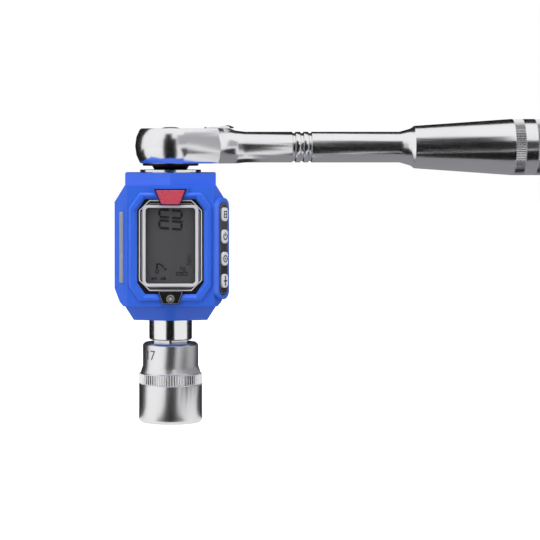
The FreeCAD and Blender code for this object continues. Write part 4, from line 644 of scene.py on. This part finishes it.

# lamp: a silver dish with a small light under the clear dome, and a light line on its holder, a
# painted highlight of the holder's edge
lampLook = {"height": 48.0, "mouth": 20.1, "dish": ((1.5, 0.0), (1.2, 0.5), (0.75, 0.95), (0.35, 1.1)),
            "dishThick": 0.08, "dishSides": 40, "smooth": 40, "mergeGap": 0.01,
            "light": 0.7, "lightThick": 0.2, "lightUp": 0.1, "lightCut": 0.15,
            "top": (4.5, 50.85), "low": (2.95, 46.15), "front": 20.24, "width": 0.16, "thick": 0.05}
dish = bmesh.new()
profile = [dish.verts.new((radius * mm, 0, -drop * mm)) for radius, drop in lampLook["dish"]]
dishDeep = lampLook["dish"][-1][1]
profile.append(dish.verts.new((0, 0, -dishDeep * mm)))
edges = [dish.edges.new(pair) for pair in zip(profile, profile[1:])]
bmesh.ops.spin(dish, geom=profile + edges, cent=(0, 0, 0), axis=(0, 0, 1), dvec=(0, 0, 0),
               angle=math.radians(360), steps=lampLook["dishSides"], use_merge=True)
bmesh.ops.remove_doubles(dish, verts=dish.verts, dist=lampLook["mergeGap"] * mm)
bmesh.ops.translate(dish, verts=dish.verts, vec=(0, lampLook["height"] * mm, 0))
standUp(dish, lampLook["dishThick"], lampLook["mouth"] - dishDeep)
finishPiece("lampReflector", dish, "reflectorSilver", "housing", (),
            lampLook["smooth"])
die = bmesh.new()
newBar(die, 0, lampLook["height"], lampLook["light"], lampLook["light"], 0, lampLook["lightCut"])
standUp(die, lampLook["lightThick"], lampLook["mouth"] - dishDeep + lampLook["lightUp"])
finishPiece("lampLight", die, "lightDie", "housing")
newOutline("lampEdgeHighlight", trapezoidCorners(lampLook["top"], lampLook["low"]), lampLook["width"],
           lampLook["thick"], lampLook["front"], "highlightGrey")
print("lamp made")

# size mark on the socket, bent round its upper part
markLook = {"text": "17", "size": 5.2, "height": 25.6, "turn": -47, "radius": 10.56, "thick": 0.03,
            "cuts": 12, "cutStep": 0.3}
mark = bmesh.new()
newWord(mark, markLook["text"], 0, 0, markLook["size"])
for place in range(-markLook["cuts"], markLook["cuts"] + 1):
    bmesh.ops.bisect_plane(mark, geom=mark.verts[:] + mark.edges[:] + mark.faces[:],
                           plane_co=(place * markLook["cutStep"] * mm, 0, 0), plane_no=(1, 0, 0))
mark.normal_update()
thicken(mark, markLook["thick"])
for vert in mark.verts:
    angle = math.radians(markLook["turn"] - 90) + vert.co.x / (markLook["radius"] * mm)
    radius = markLook["radius"] * mm + vert.co.z
    vert.co = (radius * math.cos(angle), radius * math.sin(angle),
               markLook["height"] * mm + vert.co.y)
finishPiece("socketSizeMark", mark, "markEtched", "socket")
print("size mark made")

# world: white behind for the camera and for what metal mirrors, soft light on the object
studio = {"ambient": 0.4, "floorZ": -0.02, "floorSize": 3.0, "floorGlow": 0.83, "floorTone": 0.5,
          "mirroredTone": 0.08}


def makeWorld(look):
    world = bpy.data.worlds.new("studioWorld")
    bpy.context.scene.world = world
    world.use_nodes = True
    tree = world.node_tree
    background = next(n for n in tree.nodes if n.type == "BACKGROUND")
    path = tree.nodes.new("ShaderNodeLightPath")
    seen = Wire(tree, path.outputs["Is Camera Ray"]) + Wire(tree, path.outputs["Is Transmission Ray"])
    seen = (seen + Wire(tree, path.outputs["Is Glossy Ray"])).clamped()
    tree.links.new((look["ambient"] + seen * (1 - look["ambient"])).socket,
                   background.inputs["Strength"])
    background.inputs["Color"].default_value = (1, 1, 1, 1)


makeWorld(studio)


# soft lamps, which polished metal doesn't mirror: it shows the white world and the cards only
softboxes = {
    "softboxLeft": {"place": (-0.9, -0.6, 0.4), "aim": (0.02, 0, 0.08), "size": (0.7, 0.9),
                    "power": 7.5},
    "softboxTop": {"place": (0.1, -0.35, 1.0), "aim": (0.05, 0, 0.08), "size": (1.0, 0.6),
                   "power": 10},
    "softboxRight": {"place": (1.0, -0.6, 0.3), "aim": (0.05, 0, 0.08), "size": (0.6, 0.8),
                     "power": 3},
}


def makeSoftbox(name, look):
    data = bpy.data.lights.new(name, "AREA")
    data.shape = "RECTANGLE"
    data.size, data.size_y = look["size"]
    data.energy = look["power"]
    lamp = bpy.data.objects.new(name, data)
    lamp.location = look["place"]
    aim = Vector(look["aim"]) - Vector(look["place"])
    lamp.rotation_euler = aim.to_track_quat("-Z", "Y").to_euler()
    lamp.visible_glossy = False
    bpy.context.scene.collection.objects.link(lamp)


for name, look in softboxes.items():
    makeSoftbox(name, look)


# a card glows faintly by itself, a little cool, and lighter in some places than in others
cardLook = {"cloudScale": 5, "light": (1, 1, 1.05), "dark": (0.75, 0.75, 0.8)}


def cardFinish(name, tone):
    finish = Finish(name, Roughness=1.0, Emission_Strength=1.0, Specular_IOR_Level=0.0)
    finish.feed("Base_Color", (0.0, 0.0, 0.0))
    finish.feed("Emission_Color", finish.blend(finish.noise(cardLook["cloudScale"]),
                                               shade(cardLook["light"], tone),
                                               shade(cardLook["dark"], tone)))
    return finish.material


# dark and grey cards round the tool, which only polished surfaces mirror, as bands
cards = {
    "cardFront": (0.01, [(-1.3, -3.0, 0.0), (1.05, -3.0, 0.0), (1.05, -3.0, 1.57),
                         (-1.3, -3.0, 1.57)]),
    "cardTall": (0.01, [(-1.1, -3.0, 1.57), (0.3, -3.0, 1.57), (0.3, -3.0, 3.2),
                        (-1.1, -3.0, 3.2)]),
    "cardFloor": (0.01, [(-1.3, -3.0, 0.001), (-0.01, -0.013, 0.001), (0.01, -0.013, 0.001),
                         (1.1, -3.0, 0.001)]),
    "cardBelow": (0.012, [(0.25, -0.4, 0.045), (0.5, -0.4, 0.045), (0.4, -0.045, 0.045),
                          (0.056, -0.045, 0.045)]),
    "cardUnder": (0.32, [(0.04, -0.045, 0.044), (0.5, -0.045, 0.044), (0.5, 0.4, 0.044),
                         (0.04, 0.4, 0.044)]),
    "cardBehind": (0.015, [(-1.0, 0.35, 0.0), (1.0, 0.35, 0.0), (1.0, 0.35, 0.9),
                           (-1.0, 0.35, 0.9)]),
    "cardFar": (0.015, [(-1.0, 0.15, 0.001), (0.0, 0.0, 0.001), (1.0, 0.15, 0.001),
                        (0.0, 0.6, 0.001)]),
    "cardRight": (0.5, [(1.3, -3.0, 0.3), (3.0, -1.5, 0.3), (3.0, -1.5, 2.5), (1.3, -3.0, 2.5)]),
}


def standCard(name, tone, corners):
    form = bmesh.new()
    form.faces.new([form.verts.new(corner) for corner in corners])
    mesh = bpy.data.meshes.new(name)
    form.to_mesh(mesh)
    form.free()
    card = bpy.data.objects.new(name, mesh)
    bpy.context.scene.collection.objects.link(card)
    mesh.materials.append(cardFinish(name + "Tone", tone))
    card.visible_camera = False
    card.visible_shadow = False
    card.visible_diffuse = False
    card.visible_transmission = False


for name, (tone, corners) in cards.items():
    standCard(name, tone, corners)


def makeFloor(look):
    form = bmesh.new()
    bmesh.ops.create_grid(form, x_segments=1, y_segments=1, size=look["floorSize"])
    bmesh.ops.translate(form, verts=form.verts, vec=(0, 0, look["floorZ"] * mm))
    mesh = bpy.data.meshes.new("studioFloor")
    form.to_mesh(mesh)
    form.free()
    floor = bpy.data.objects.new("studioFloor", mesh)
    bpy.context.scene.collection.objects.link(floor)
    finish = Finish("floorWhite", Roughness=0.8)
    path = finish.node("ShaderNodeLightPath")
    mirrored = Wire(finish.tree, path.outputs["Is Glossy Ray"])
    seen = Wire(finish.tree, path.outputs["Is Camera Ray"]) + mirrored
    # metal sees the floor's own white, without the light that the lamps throw on it
    finish.feed("Base_Color", finish.blend((finish.noise(3) * 0.02 + mirrored).clamped(),
                                           (look["floorTone"],) * 3, (look["mirroredTone"],) * 3))
    glow = finish.node("ShaderNodeEmission", None, Color=(1, 1, 1, 1), Strength=look["floorGlow"])
    add = finish.node("ShaderNodeAddShader")
    finish.tree.links.new(finish.surface.outputs[0], add.inputs[0])
    finish.tree.links.new(glow.outputs[0], add.inputs[1])
    mix = finish.node("ShaderNodeMixShader")
    finish.join(seen.clamped(), mix.inputs[0])
    finish.tree.links.new(finish.surface.outputs[0], mix.inputs[1])
    finish.tree.links.new(add.outputs[0], mix.inputs[2])
    finish.tree.links.new(mix.outputs[0], finish.output.inputs["Surface"])
    mesh.materials.append(finish.material)


makeFloor(studio)
bpy.context.scene.view_settings.view_transform = "Standard"
print("studio made")
